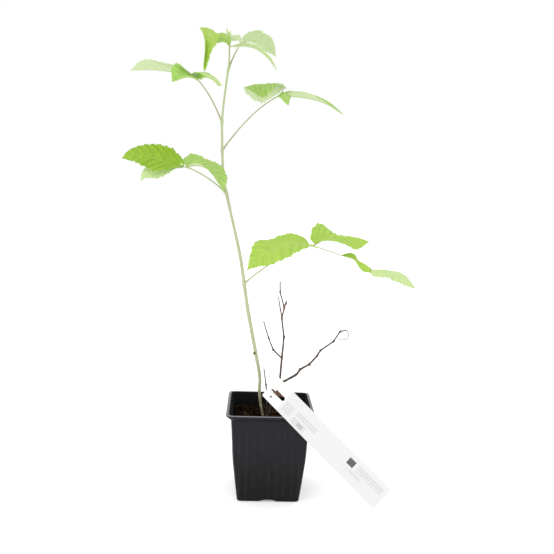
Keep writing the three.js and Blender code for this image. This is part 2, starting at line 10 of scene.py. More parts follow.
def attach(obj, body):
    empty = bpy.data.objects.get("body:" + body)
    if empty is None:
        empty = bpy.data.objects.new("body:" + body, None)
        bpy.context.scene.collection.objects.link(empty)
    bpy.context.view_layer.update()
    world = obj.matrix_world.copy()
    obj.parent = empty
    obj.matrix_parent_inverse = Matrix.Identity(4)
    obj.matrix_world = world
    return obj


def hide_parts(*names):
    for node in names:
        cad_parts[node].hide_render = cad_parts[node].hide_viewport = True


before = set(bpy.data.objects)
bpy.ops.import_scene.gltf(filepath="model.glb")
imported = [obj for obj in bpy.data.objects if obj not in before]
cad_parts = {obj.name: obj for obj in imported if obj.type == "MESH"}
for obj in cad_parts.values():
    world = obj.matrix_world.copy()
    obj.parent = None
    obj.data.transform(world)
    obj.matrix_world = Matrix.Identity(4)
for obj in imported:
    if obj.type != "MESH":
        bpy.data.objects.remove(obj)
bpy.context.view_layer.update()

# The view: a high-key studio shot on a white floor, with the camera a little above the plant's middle
# and turned a touch to one side. The light is a bright white room with one broad lamp from the left.
MM = 0.001
CAMERA_PLACE = (-22.72 * MM, -650.83 * MM, 298.57 * MM)
CAMERA_YAW = math.radians(-2.251)
CAMERA_PITCH = math.radians(-6.112)
CAMERA_ROLL = math.radians(1.962)
CAMERA_LENS = 41.016
CAMERA_SENSOR = 36
ROOM_GLOW = 1.0
LAMP_WAY = Vector((0.5, 0.6, -1.1))
LAMP_SPREAD = math.radians(50)
LAMP_STRENGTH = 0.5
FLOOR_SIZE = 60
FLOOR_GLOW = 0.3


def paint(code):
    """A six-figure screen colour as the linear colour that a shader takes."""
    shares = [int(code[i : i + 2], 16) / 255 for i in (0, 2, 4)]
    return (*(((c + 0.055) / 1.055) ** 2.4 if c > 0.04045 else c / 12.92 for c in shares), 1)


def mesh_object(name, bm):
    """An object at the origin with the bmesh as its mesh."""
    made = bpy.data.objects.new(name, bpy.data.meshes.new(name))
    bm.to_mesh(made.data)
    bm.free()
    scene.collection.objects.link(made)
    return made


scene = bpy.context.scene
scene.view_settings.view_transform = "Standard"
camera = bpy.data.objects.new("camera", bpy.data.cameras.new("camera"))
camera.data.lens = CAMERA_LENS
camera.data.sensor_width = CAMERA_SENSOR
tilt = Matrix.Rotation(math.pi / 2 + CAMERA_PITCH, 4, "X") @ Matrix.Rotation(CAMERA_ROLL, 4, "Z")
camera.matrix_world = Matrix.Translation(CAMERA_PLACE) @ Matrix.Rotation(CAMERA_YAW, 4, "Z") @ tilt
scene.collection.objects.link(camera)
scene.camera = camera

scene.world = bpy.data.worlds.new("white_room")
scene.world.use_nodes = True
room = scene.world.node_tree.nodes["Background"]
room.inputs["Color"].default_value = (1, 1, 1, 1)
room.inputs["Strength"].default_value = ROOM_GLOW

lamp = bpy.data.objects.new("lamp", bpy.data.lights.new("lamp", "SUN"))
lamp.data.angle = LAMP_SPREAD
lamp.data.energy = LAMP_STRENGTH
lamp.rotation_euler = LAMP_WAY.to_track_quat("-Z", "Y").to_euler()
scene.collection.objects.link(lamp)

bm = bmesh.new()
bmesh.ops.create_grid(bm, x_segments=1, y_segments=1, size=FLOOR_SIZE)
floor = mesh_object("floor", bm)
floor_paint = bpy.data.materials.new("floor_white")
floor_paint.use_nodes = True
floor_shader = floor_paint.node_tree.nodes["Principled BSDF"]
floor_shader.inputs["Base Color"].default_value = paint("f8f8f8")
floor_shader.inputs["Roughness"].default_value = 0.9
floor_shader.inputs["Emission Color"].default_value = (1, 1, 1, 1)
floor_shader.inputs["Emission Strength"].default_value = FLOOR_GLOW
floor.data.materials.append(floor_paint)


# Pot: a square nursery pot, blown thin in black plastic. Its sides are fluted from foot to neck, its
# lip flares, and four arched drain channels under its edges each have a hole.
POT_HEIGHT = 93.6 * MM
RIM_HALF = 45 * MM
BASE_HALF = 32.2 * MM
BELLY_HALF = 37.6 * MM
BELLY_HEIGHT = 45 * MM
NECK_HALF = 40 * MM
NECK_HEIGHT = 87.4 * MM
POT_WALL = 1.1 * MM
POT_FLOOR = 3.6 * MM
LIP_WIDTH = 2.8 * MM
LIP_ROUND = 0.6 * MM
FOOT_ROUND = 1.5 * MM
SQUARENESS = 18
FLUTE_PITCH = 7.6 * MM
FLUTE_DEPTH = 0.9 * MM
FLUTE_HOLLOW = 0.8
FLUTE_TOP = 82 * MM
FLUTE_FOOT = 5 * MM
FLUTE_FADE = 5 * MM
POT_SIDES = 512
POT_ROWS = 26
CHANNEL_SIZE = (18 * MM, 30 * MM, 4.8 * MM)
DRAIN_RADIUS = 3.2 * MM
DRAIN_INSET = 7 * MM
DRAIN_SIDES = 32
INWARD_FACING = 0.3


class Socket:
    """An output of a material's nodes. Arithmetic on it adds Math nodes beside it."""

    def __init__(self, tree, output):
        self.tree = tree
        self.output = output

    def node(self, kind, settings=None, sockets=None, output=0):
        """Adds a node of that kind, sets it up, fills or links its sockets and gives one output."""
        made = self.tree.nodes.new("ShaderNode" + kind)
        for name, value in (settings or {}).items():
            setattr(made, name, value)
        for name, value in (sockets or {}).items():
            if isinstance(value, Socket):
                self.tree.links.new(value.output, made.inputs[name])
            else:
                made.inputs[name].default_value = value
        return Socket(self.tree, made.outputs[output])

    def math(self, operation, *values):
        return self.node("Math", {"operation": operation}, dict(enumerate(values)))

    def __add__(self, other):
        return self.math("ADD", self, other)

    __radd__ = __add__

    def __sub__(self, other):
        return self.math("SUBTRACT", self, other)

    def __rsub__(self, other):
        return self.math("SUBTRACT", other, self)

    def __mul__(self, other):
        return self.math("MULTIPLY", self, other)

    __rmul__ = __mul__

    def __truediv__(self, other):
        return self.math("DIVIDE", self, other)

    def __rtruediv__(self, other):
        return self.math("DIVIDE", other, self)

    def __abs__(self):
        return self.math("ABSOLUTE", self)

    def axis(self, letter):
        """This vector's part along X, Y or Z."""
        return self.node("SeparateXYZ", None, {"Vector": self}, letter)

    def step(self, low, high):
        """0 below low, 1 above high and smooth between them, or the other way round where low is higher."""
        ends = {"Value": self, "From Min": low, "From Max": high}
        return self.node("MapRange", {"interpolation_type": "SMOOTHSTEP"}, ends)

    def mix(self, first, second):
        """The first colour where this value is 0 and the second where it is 1."""
        return self.node("Mix", {"data_type": "RGBA"}, {0: self, 6: first, 7: second}, 2)

    def spread(self, scale):
        """This vector stretched by a different amount along each axis."""
        return self.node("VectorMath", {"operation": "MULTIPLY"}, {0: self, 1: scale})

    def noise(self, size, detail=2, roughness=0.5):
        """Cloudy noise from 0 to 1 over this place, with clouds of about that size in metres."""
        values = {"Vector": self, "Scale": 1 / size, "Detail": detail, "Roughness": roughness}
        return self.node("TexNoise", None, values)


def new_finish(name):
    """A material, its shader, and the socket that gives each spot's place on the plant."""
    material = bpy.data.materials.new(name)
    material.use_nodes = True
    tree = material.node_tree
    place = Socket(tree, None).node("TexCoord", None, None, "Object")
    return material, tree.nodes["Principled BSDF"], place


def link(shader, **values):
    """Fills the shader's sockets, named with _ for a space, with numbers, colours or links."""
    for name, value in values.items():
        socket = shader.inputs[name.replace("_", " ")]
        if isinstance(value, Socket):
            value.tree.links.new(value.output, socket)
        else:
            socket.default_value = value


def relief(height, depth, strength=1.0):
    """A bump of that depth in metres from a height of 0 to 1."""
    return height.node("Bump", None, {"Strength": strength, "Distance": depth, "Height": height})


def finished_piece(name, bm, materials, smooth_angle=40):
    """A piece from a bmesh: its faces turned outwards, smooth except at edges sharper than the angle."""
    bmesh.ops.recalc_face_normals(bm, faces=bm.faces)
    made = mesh_object(name, bm)
    for material in materials:
        made.data.materials.append(material)
    made.data.shade_smooth()
    made.data.set_sharp_from_angle(angle=math.radians(smooth_angle))
    return made


def squared_reach(turn, half):
    """How far the pot's rounded square reaches in a direction."""
    norm = abs(math.cos(turn)) ** SQUARENESS + abs(math.sin(turn)) ** SQUARENESS
    return half * norm ** (-1 / SQUARENESS)


def pot_half(z):
    """Half width of the pot's side at a height."""
    if z < BELLY_HEIGHT:
        return BASE_HALF + (BELLY_HALF - BASE_HALF) * z / BELLY_HEIGHT
    return BELLY_HALF + (NECK_HALF - BELLY_HALF) * (z - BELLY_HEIGHT) / (NECK_HEIGHT - BELLY_HEIGHT)


def smoothstep(low, high, value):
    share = min(1, max(0, (value - low) / (high - low)))
    return share * share * (3 - 2 * share)


def flute(turn, half, z):
    """Depth of the flutes where the side is at that turn and height, with rounded ends to each."""
    reach = squared_reach(turn, half)
    aside = min(abs(math.cos(turn)), abs(math.sin(turn))) * reach
    across = abs(math.sin(math.pi * aside / FLUTE_PITCH)) ** FLUTE_HOLLOW
    corner = smoothstep(half, half - FLUTE_PITCH / 2, aside)
    arch = FLUTE_FADE * (1 - across)
    ends = smoothstep(FLUTE_TOP, FLUTE_TOP - FLUTE_FADE, z + arch) * smoothstep(0, FLUTE_FOOT, z)
    return FLUTE_DEPTH * across * corner * ends


side_heights = [FOOT_ROUND + (NECK_HEIGHT - FOOT_ROUND) * i / POT_ROWS for i in range(POT_ROWS + 1)]
rim_inner = RIM_HALF - LIP_WIDTH
pot_profile = [(BASE_HALF - FOOT_ROUND, 0), (BASE_HALF - 0.4 * FOOT_ROUND, 0.25 * FOOT_ROUND)]
pot_profile += [(pot_half(z), z) for z in side_heights]
pot_profile += [
    (NECK_HALF + LIP_ROUND, NECK_HEIGHT + 0.5 * LIP_ROUND),
    (RIM_HALF - 1.5 * LIP_ROUND, POT_HEIGHT - 3.5 * LIP_ROUND),
    (RIM_HALF - 0.4 * LIP_ROUND, POT_HEIGHT - 2.3 * LIP_ROUND),
    (RIM_HALF, POT_HEIGHT - 1.3 * LIP_ROUND),
    (RIM_HALF - 0.3 * LIP_ROUND, POT_HEIGHT - 0.3 * LIP_ROUND),
    (RIM_HALF - LIP_ROUND, POT_HEIGHT),
    (rim_inner, POT_HEIGHT),
    (rim_inner - LIP_ROUND, POT_HEIGHT - 0.5 * LIP_ROUND),
    (rim_inner - 2 * LIP_ROUND, POT_HEIGHT - 3 * LIP_ROUND),
    (NECK_HALF - POT_WALL, NECK_HEIGHT),
    (BELLY_HALF - POT_WALL, BELLY_HEIGHT),
    (pot_half(POT_FLOOR) - POT_WALL, POT_FLOOR),
]

def grown_rim(bm, edges):
    """Extrudes an open rim, and gives the new rim's vertices and edges."""
    grown = bmesh.ops.extrude_edge_only(bm, edges=edges)["geom"]
    verts = [e for e in grown if isinstance(e, bmesh.types.BMVert)]
    return verts, [e for e in grown if isinstance(e, bmesh.types.BMEdge) and len(e.link_faces) == 1]


bm = bmesh.new()
ring = bmesh.ops.create_circle(bm, segments=POT_SIDES, radius=1)["verts"]
edges = list(bm.edges)
bmesh.ops.edgeloop_fill(bm, edges=edges)
outside = True
for row, (half, z) in enumerate(pot_profile):
    if row:
        ring, edges = grown_rim(bm, edges)
        outside = outside and half < RIM_HALF - LIP_ROUND
    for vert in ring:
        turn = math.atan2(vert.co.y, vert.co.x)
        reach = squared_reach(turn, half) - (flute(turn, half, z) if outside else 0)
        vert.co = (reach * math.cos(turn), reach * math.sin(turn), z)
bmesh.ops.edgeloop_fill(bm, edges=edges)
bmesh.ops.recalc_face_normals(bm, faces=bm.faces)
pot_body = mesh_object("pot_body", bm)

bm = bmesh.new()
for side in range(4):
    quarter = Matrix.Rotation(side * math.pi / 2, 4, "Z")
    channel = Matrix.Translation((0, -BASE_HALF, 0)) @ Matrix.Diagonal((*CHANNEL_SIZE, 1))
    bmesh.ops.create_uvsphere(
        bm,
        u_segments=DRAIN_SIDES,
        v_segments=DRAIN_SIDES // 2,
        radius=0.5,
        matrix=quarter @ channel,
    )
    drain = Matrix.Translation((0, DRAIN_INSET - BASE_HALF, 0))
    bmesh.ops.create_cone(
        bm,
        cap_ends=True,
        segments=DRAIN_SIDES,
        radius1=DRAIN_RADIUS,
        radius2=DRAIN_RADIUS,
        depth=4 * POT_FLOOR,
        matrix=quarter @ drain,
    )
drain_cutter = mesh_object("drain_cutter", bm)
cut = pot_body.modifiers.new("drains", "BOOLEAN")
cut.operation = "DIFFERENCE"
cut.solver = "EXACT"
cut.use_self = True
cut.object = drain_cutter
bm = bmesh.new()
bm.from_object(pot_body, bpy.context.evaluated_depsgraph_get())
for body in (pot_body, drain_cutter):
    bpy.data.objects.remove(body)

pot_plastic, shader, place = new_finish("black_pot_plastic")
one_corner = place.node("VectorMath", {"operation": "ABSOLUTE"}, {0: place})
height = one_corner.axis("Z")
aside = one_corner.math("MINIMUM", one_corner.axis("X"), one_corner.axis("Y"))
across = aside / FLUTE_PITCH
from_ridge = abs(across - across.math("ROUND", across))
ridges = from_ridge.step(0.16, 0.02) * height.step(FLUTE_TOP, FLUTE_TOP - FLUTE_FADE)
scuffs = place.spread((1, 1, 0.08)).noise(1.2 * MM, 4, 0.65)
clouds = place.noise(18 * MM, 3)
grain = place.noise(0.35 * MM, 2)
# Painted highlight: the lip's top face is painted light grey, broken up by the scuffs.
painted_lip_highlight = height.step(POT_HEIGHT - 0.35 * MM, POT_HEIGHT - 0.1 * MM)
# Painted light and shade: the black body is painted greyer towards the neck and darker towards the foot, in
# cloudy patches, for the light that falls from above.
painted_height_light = height.step(10 * MM, 70 * MM) * (0.7 + 0.6 * clouds)
body = painted_height_light.mix(paint("050506"), paint("18191e"))
# Painted highlight: thin paler lines along the flute ridges, coming and going in patches, stand in for light
# catching the ridges.
painted_ridge_highlight = (0.24 * ridges * clouds.step(0.35, 0.65)).mix(body, paint("333338"))
link(
    shader,
    Base_Color=(painted_lip_highlight * (0.6 + 0.4 * scuffs)).mix(painted_ridge_highlight, paint("85868a")),
    Roughness=0.36 + 0.16 * clouds + 0.1 * scuffs,
    Normal=relief(grain + scuffs, 0.04 * MM, 0.5),
    Specular_IOR_Level=0.2,
)
inner_plastic, shader, place = new_finish("damp_pot_inside")
stain = place.spread((1, 1, 0.3)).noise(6 * MM, 4, 0.6)
link(
    shader,
    Base_Color=stain.step(0.4, 0.75).mix(paint("070707"), paint("141210")),
    Roughness=0.6 + 0.25 * stain,
    Normal=relief(stain, 0.1 * MM, 0.5),
    Specular_IOR_Level=0.12,
)
for face in bm.faces:
    middle = face.calc_center_median()
    if middle.z > POT_FLOOR and face.normal.xy.dot(middle.xy) < -INWARD_FACING * middle.xy.length:
        face.material_index = 1
pot = finished_piece("pot_shell", bm, [pot_plastic, inner_plastic])
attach(pot, "root")
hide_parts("pot")


# Compost: dark peat that fills the pot to a finger below its lip, lumpy on top and level by the stems.
# Crumbs of bark and brown coir fibres lie on it.
SOIL_LEVEL = 80 * MM
SOIL_GAP = 0.3 * MM
SOIL_SIDES = 150
SOIL_HEAP = 1.5 * MM
SOIL_CLOD = 1.1 * MM
HEAP_SPAN = 14 * MM
CLOD_SPAN = 5 * MM
BARE_RADIUS = 10 * MM
BARE_ROUGHNESS = 0.35
STEM_FEET = [Vector((-6, 0)) * MM, Vector((-2.6, -10)) * MM, Vector((-4.4, -20)) * MM]
CRUMB_COUNT = 420
CRUMB_RADIUS = (0.5 * MM, 1.7 * MM)
CRUMB_STRETCH = (0.6, 1.6)
CRUMB_CHIPS = (0.75, 1.2)
CRUMB_LIFT = 0.3
CRUMB_INSET = 4 * MM
FIBRE_COUNT = 70
FIBRE_LENGTH = (7 * MM, 22 * MM)
FIBRE_RADIUS = (0.18 * MM, 0.5 * MM)
FIBRE_BENDS = 4
FIBRE_SWERVE = 0.8
FIBRE_ARCH = 2.2 * MM
FIBRE_INSET = 2 * MM
FIBRE_ROOT = 1.05
FIBRE_TAPER = 0.7
FIBRE_STEPS = 9
FIBRE_SIDES = 5
POINTS_PER_BEND = 24
WELD = 0.001 * MM
dice = random.Random(7)


def soil_height(x, y):
    """Height of the compost at a place, level close to each stem."""
    near = min((Vector((x, y)) - foot).length for foot in STEM_FEET)
    free = BARE_ROUGHNESS + (1 - BARE_ROUGHNESS) * smoothstep(BARE_RADIUS, 2 * BARE_RADIUS, near)
    heap = noise.noise(Vector((x, y, 0)) / HEAP_SPAN)
    clod = noise.turbulence(Vector((x, y, 0)) / CLOD_SPAN, 4, False)
    return SOIL_LEVEL + free * (SOIL_HEAP * heap + SOIL_CLOD * (clod - 0.5))


bm = bmesh.new()
top = bmesh.ops.create_grid(bm, x_segments=SOIL_SIDES, y_segments=SOIL_SIDES, size=1)["verts"]
soil_half = pot_half(SOIL_LEVEL) - POT_WALL - SOIL_GAP
for vert in top:
    out = max(abs(vert.co.x), abs(vert.co.y))
    reach = out * squared_reach(math.atan2(vert.co.y, vert.co.x), soil_half)
    flat = vert.co.xy.normalized() * reach
    vert.co = (flat.x, flat.y, soil_height(flat.x, flat.y))
edges = [e for e in bm.edges if e.is_boundary]
for z in (BELLY_HEIGHT, POT_FLOOR + SOIL_GAP):
    ring, edges = grown_rim(bm, edges)
    half = pot_half(z) - POT_WALL - SOIL_GAP
    for vert in ring:
        turn = math.atan2(vert.co.y, vert.co.x)
        reach = squared_reach(turn, half)
        vert.co = (reach * math.cos(turn), reach * math.sin(turn), z)
bmesh.ops.edgeloop_fill(bm, edges=edges)

peat, shader, place = new_finish("dark_peat")
specks = place.noise(1.6 * MM, 4, 0.7)
patches = place.noise(9 * MM, 3)
moist = patches.step(0.35, 0.65).mix(paint("080503"), paint("1a1109"))
link(
    shader,
    Base_Color=specks.step(0.6, 0.8).mix(moist, paint("3b2511")),
    Roughness=0.85 + 0.12 * specks,
    Normal=relief(specks, 0.8 * MM),
    Specular_IOR_Level=0.02,
)
compost = finished_piece("compost", bm, [peat], smooth_angle=180)
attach(compost, "root")
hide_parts("soil")


def soil_spot():
    """A random place on the compost, clear of the pot's wall."""
    reach = soil_half - CRUMB_INSET
    return dice.uniform(-reach, reach), dice.uniform(-reach, reach)


bm = bmesh.new()
for _ in range(CRUMB_COUNT):
    x, y = soil_spot()
    size = dice.uniform(*CRUMB_RADIUS)
    shape = Matrix.Diagonal([size * dice.uniform(*CRUMB_STRETCH) for _ in range(3)]).to_4x4()
    turn = Matrix.Rotation(dice.uniform(0, math.tau), 4, "Z") @ Matrix.Rotation(dice.uniform(-1, 1), 4, "X")
    spot = Matrix.Translation((x, y, soil_height(x, y) + CRUMB_LIFT * size))
    bits = bmesh.ops.create_icosphere(bm, subdivisions=1, radius=1)["verts"]
    for vert in bits:
        vert.co *= dice.uniform(*CRUMB_CHIPS)
    bmesh.ops.transform(bm, matrix=spot @ turn @ shape, verts=bits)
bark_crumb, shader, place = new_finish("bark_crumb")
tone = place.noise(5 * MM, 3, 0.7)
link(
    shader,
    Base_Color=tone.step(0.4, 0.75).mix(paint("0b0806"), paint("3d2815")),
    Roughness=0.9,
    Normal=relief(place.noise(0.6 * MM, 3), 0.3 * MM),
    Specular_IOR_Level=0.03,
)
crumbs = finished_piece("compost_crumbs", bm, [bark_crumb], smooth_angle=30)
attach(crumbs, "root")
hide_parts("soil")


def smooth_path(bends, steps, tension=None):
    """Evenly spaced points along a smooth line through the bends, more angular at a low tension."""
    ends = [2 * bends[0] - bends[1], *bends, 2 * bends[-1] - bends[-2]]
    fine = [bends[0]]
    for a, b, c, d in zip(ends, ends[1:], ends[2:], ends[3:]):
        if tension:
            leave, arrive = tension * (c - a), tension * (d - b)
        else:
            before, along, after = ((q - p).length ** 0.5 for p, q in ((a, b), (b, c), (c, d)))
            leave = ((b - a) / before - (c - a) / (before + along) + (c - b) / along) * along
            arrive = ((c - b) / along - (d - b) / (along + after) + (d - c) / after) * along
        fine += geometry.interpolate_bezier(b, b + leave / 3, c - arrive / 3, c, POINTS_PER_BEND)[1:]
    points = np.array(fine)
    travelled = np.concatenate([[0], np.cumsum(np.linalg.norm(np.diff(points, axis=0), axis=1))])
    even = np.linspace(0, travelled[-1], steps + 1)
    return [Vector(p) for p in np.stack([np.interp(even, travelled, axis) for axis in points.T], 1)]


def limb(bm, path, radius_at, sides):
    """A round limb along a path: a grid rolled round it, closed at its seam and at both ends.
    radius_at takes the share of the length, the turn about the path and the distance from the start.
    Each vertex keeps where it would be on a straight limb, so that bark can follow the limb."""
    straight = bm.verts.layers.float_vector.get("straight") or bm.verts.layers.float_vector.new("straight")
    steps = len(path) - 1
    runs = [(b - a).normalized() for a, b in zip(path, path[1:])]
    runs = [runs[0], *((a + b).normalized() for a, b in zip(runs, runs[1:])), runs[-1]]
    spacing = (path[1] - path[0]).length
    aside = [runs[0].orthogonal().normalized()]
    for before, after in zip(runs, runs[1:]):
        aside.append(before.rotation_difference(after) @ aside[-1])
    verts = bmesh.ops.create_grid(bm, x_segments=steps, y_segments=sides, size=0.5)["verts"]
    for vert in verts:
        share = vert.co.x + 0.5
        step = round(share * steps)
        turn = math.tau * (vert.co.y + 0.5)
        radius = radius_at(share, turn, step * spacing)
        out = aside[step] * math.cos(turn) + runs[step].cross(aside[step]) * math.sin(turn)
        vert.co = path[step] + radius * out
        vert[straight] = (radius * math.cos(turn), radius * math.sin(turn), step * spacing)
    bmesh.ops.remove_doubles(bm, verts=verts, dist=WELD)
    rims = [e for v in verts if v.is_valid for e in v.link_edges if e.is_boundary]
    bmesh.ops.holes_fill(bm, edges=list(set(rims)))


bm = bmesh.new()
for _ in range(FIBRE_COUNT):
    x, y = soil_spot()
    heading = dice.uniform(0, math.tau)
    length = dice.uniform(*FIBRE_LENGTH)
    thick = dice.uniform(*FIBRE_RADIUS)
    stride = length / (FIBRE_BENDS - 1)
    reach = soil_half - FIBRE_INSET
    bends = []
    for i in range(FIBRE_BENDS):
        lift = thick + (dice.uniform(0, FIBRE_ARCH) if 0 < i < FIBRE_BENDS - 1 else 0)
        bends.append(Vector((x, y, soil_height(x, y) + lift)))
        heading += dice.uniform(-FIBRE_SWERVE, FIBRE_SWERVE)
        x = min(reach, max(-reach, x + stride * math.cos(heading)))
        y = min(reach, max(-reach, y + stride * math.sin(heading)))
    path = smooth_path(bends, FIBRE_STEPS)
    limb(bm, path, lambda share, turn, along: thick * (FIBRE_ROOT - FIBRE_TAPER * share), FIBRE_SIDES)
coir, shader, place = new_finish("brown_coir")
link(
    shader,
    Base_Color=place.noise(7 * MM, 2).step(0.4, 0.7).mix(paint("24180f"), paint("6b5238")),
    Roughness=0.85,
    Normal=relief(place.noise(0.3 * MM, 2), 0.1 * MM),
    Specular_IOR_Level=0.15,
)
fibres = finished_piece("compost_fibres", bm, [coir], smooth_angle=60)
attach(fibres, "root")
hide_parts("soil")


# Live cane: one soft green stem, finely ribbed along its length, swollen where each leaf leaves it. It
# grows out of the compost on a thin brown foot and ends in the growing tip.
CANE_BENDS = [
    (-6, 0, 76),
    (-10, 0.4, 93),
    (-11.6, 0.5, 107),
    (-11.6, 0.4, 121),
    (-17.2, 0, 150),
    (-26.4, -0.6, 194),
    (-36, -1, 250),
    (-48.6, -0.6, 301),
    (-54.9, 0, 329),
    (-57.4, 0.4, 366),
    (-57.8, 0.4, 388),
    (-54.6, 0.2, 422),
    (-52.3, 0, 442),
    (-52.3, 0, 454),
]
CANE_FOOT_RADIUS = 2.25 * MM
CANE_TIP_RADIUS = 0.8 * MM
CANE_TAPER_POWER = 1.1
CANE_PINCH = 0.6
CANE_PINCH_HEIGHT = 38 * MM
CANE_FLARE = 0.2 * MM
CANE_FLARE_HEIGHT = 4 * MM
CANE_KNUCKLE = 0.5 * MM
CANE_KNUCKLE_HEIGHT = 3 * MM
CANE_RIBS = 9
CANE_RIB_DEPTH = 0.05
CANE_RIB_WANDER = 1.5
CANE_RIB_SPAN = 30 * MM
CANE_WART = 0.06
CANE_WART_SPAN = 4 * MM
CANE_STEPS = 320
CANE_SIDES = 24
CANE_BROWN = (122 * MM, 96 * MM)
CANE_BROWN_EDGE = 9 * MM
CANE_YOUNG = (300 * MM, 430 * MM)
LEAF_HEIGHTS = [z * MM for z in (221, 313, 356, 384, 436)]
BUD_SCAR = Vector((-18.5, -1.4, 148)) * MM
BUD_SCAR_RADIUS = 1.5 * MM
BUD_SCAR_SHAPE = (0.7, 0.7, 1.2, 1)
BUD_SCAR_STAIN = (2.4 * MM, 1.2 * MM)

cane_path = smooth_path([Vector(p) * MM for p in CANE_BENDS], CANE_STEPS)
cane_step = (cane_path[1] - cane_path[0]).length
cane_heights = [point.z for point in cane_path]


def cane_at(height):
    """The cane's middle at a height."""
    return Vector([np.interp(height, cane_heights, axis) for axis in zip(*cane_path)])


def cane_along(height):
    """How far along the cane that height is."""
    return cane_step * np.interp(height, cane_heights, range(len(cane_path)))


leaf_places = [cane_along(height) for height in LEAF_HEIGHTS]
foot_place = cane_along(SOIL_LEVEL)


def cane_radius(share, turn, along):
    taper = CANE_FOOT_RADIUS + (CANE_TIP_RADIUS - CANE_FOOT_RADIUS) * share**CANE_TAPER_POWER
    above_foot = max(0, along - foot_place)
    pinch = CANE_PINCH * math.exp(-above_foot / CANE_PINCH_HEIGHT)
    flare = CANE_FLARE * math.exp(-above_foot / CANE_FLARE_HEIGHT)
    away = min(abs(along - place) for place in leaf_places) / CANE_KNUCKLE_HEIGHT
    wander = CANE_RIB_WANDER * noise.noise(Vector((0, 0, along / CANE_RIB_SPAN)))
    ribs = CANE_RIB_DEPTH * math.sin(CANE_RIBS * turn + wander)
    warts = CANE_WART * noise.noise(Vector((math.cos(turn), math.sin(turn), along / CANE_WART_SPAN)))
    stem = taper * (1 - pinch) + flare
    return stem * (1 + ribs + warts) + CANE_KNUCKLE * math.exp(-(away**2))


bm = bmesh.new()
limb(bm, cane_path, cane_radius, CANE_SIDES)
scar = bmesh.ops.create_icosphere(bm, subdivisions=2, radius=BUD_SCAR_RADIUS)["verts"]
scar_place = Matrix.Translation(BUD_SCAR) @ Matrix.Diagonal(BUD_SCAR_SHAPE)
bmesh.ops.transform(bm, matrix=scar_place, verts=scar)
for vert in scar:
    vert[bm.verts.layers.float_vector["straight"]] = vert.co

green_bark, shader, place = new_finish("green_cane_bark")
height = place.axis("Z")
straight = place.node("Attribute", {"attribute_name": "straight"}, None, "Vector")
streaks = straight.spread((1, 1, 0.07)).noise(0.8 * MM, 3, 0.6)
blotches = straight.spread((1, 1, 0.4)).noise(3 * MM, 3, 0.6)
foot = (height + CANE_BROWN_EDGE * (blotches - 0.5)).step(*CANE_BROWN)
scar_spot = place.node("VectorMath", {"operation": "DISTANCE"}, {0: place, 1: BUD_SCAR}, "Value")
green = streaks.step(0.3, 0.7).mix(paint("a9b086"), paint("c0c6a2"))
young = height.step(*CANE_YOUNG).mix(green, paint("b4c28e"))
brown = blotches.step(0.35, 0.65).mix(paint("6f6644"), paint("b3a985"))
scarred = scar_spot.step(*BUD_SCAR_STAIN).mix((foot * 0.85).mix(young, brown), paint("6f6238"))
link(
    shader,
    Base_Color=scarred,
    Roughness=0.5 + 0.2 * blotches,
    Normal=relief(streaks, 0.12 * MM),
)
cane = finished_piece("green_cane", bm, [green_bark], smooth_angle=60)
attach(cane, "root")
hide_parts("cane")


# Dead wood: last year's cane, bare and brittle, with a short shoot, two twigs and a dry stalk that
# stands by itself. Its bark is grey-brown and wrinkled, red-brown in places, with a bud at each bend.
OLD_CANE = {
    "bends": [
        (-2.6, -10, 76),
        (0.5, -17, 97.5),
        (4.6, -22, 108),
        (8, -25, 122.5),
        (9.6, -24, 149),
        (10.9, -23.2, 170),
        (8.4, -22, 189),
        (10.2, -21, 200),
        (6.1, -20, 215),
        (5.4, -19, 226.5),
    ],
    "radii": (1.7, 0.55),
}
OLD_SHOOT = {"bends": [(8.6, -22, 189), (6.4, -24.5, 199), (4, -26, 211.6)], "radii": (0.7, 0.45)}
OLD_SPUR = {"bends": [(10, -21, 200.5), (11.8, -18.5, 203.5), (12.6, -17, 206.4)], "radii": (0.85, 0.6)}
LABEL_STUB = {
    "bends": [(5.6, -22.3, 112), (10.5, -31, 111.5), (7.6, -37.2, 114.6), (0.2, -39.2, 120.4)],
    "radii": (1.3, 0.9),
}
TWIG_RIGHT = {
    "bends": [
        (8.2, -25, 122.6),
        (24, -29, 133.1),
        (28.7, -30.5, 139.6),
        (37, -32.5, 145.5),
        (43.6, -34.5, 153.8),
        (47.5, -36, 160.6),
        (58.9, -39, 170.4),
        (65.2, -41, 180.6),
        (71, -42, 182.7),
    ],
    "radii": (1.4, 0.6),
}
CURL_BENDS = [
    (68.5, -41.5, 181.8),
    (71.6, -42, 182.6),
    (74.1, -40.8, 177.9),
    (72.4, -39.4, 173.6),
    (68, -38.4, 172.2),
    (63.2, -37, 173.3),
]
CURL_RADII = (0.42 * MM, 0.34 * MM)
CURL_STEPS = 40
CURL_SIDES = 8
TWIG_LEFT = {
    "bends": [(9.6, -24, 149), (1.1, -22.3, 156.7), (-4.4, -20.2, 168.8), (-9.9, -17, 184.9)],
    "radii": (0.9, 0.5),
}
DRY_STALK = {
    "bends": [(-4.4, -20, 76), (-3.6, -17.5, 100), (-5.3, -16, 118), (-8, -17, 135.5)],
    "radii": (1.0, 0.6),
}
OLD_STEP = 0.8 * MM
OLD_LEAST_STEPS = 6
OLD_SIDES = 14
OLD_TENSION = 0.28
OLD_TAPER_POWER = 0.6
OLD_KNUCKLE = 0.24
OLD_KNUCKLE_HEIGHT = 1.7 * MM
WRINKLE = 0.16
WRINKLE_SPAN = 6 * MM
CRACK = 0.08
CRACK_SPAN = 1.5 * MM
BUD_SIZE = (0.85 * MM, 0.85 * MM, 1.7 * MM)
BUD_TWIG_RADIUS = 1.3 * MM
BUD_LEAST = 0.35
BUD_POINT = 0.35
BUD_OUT = 0.8


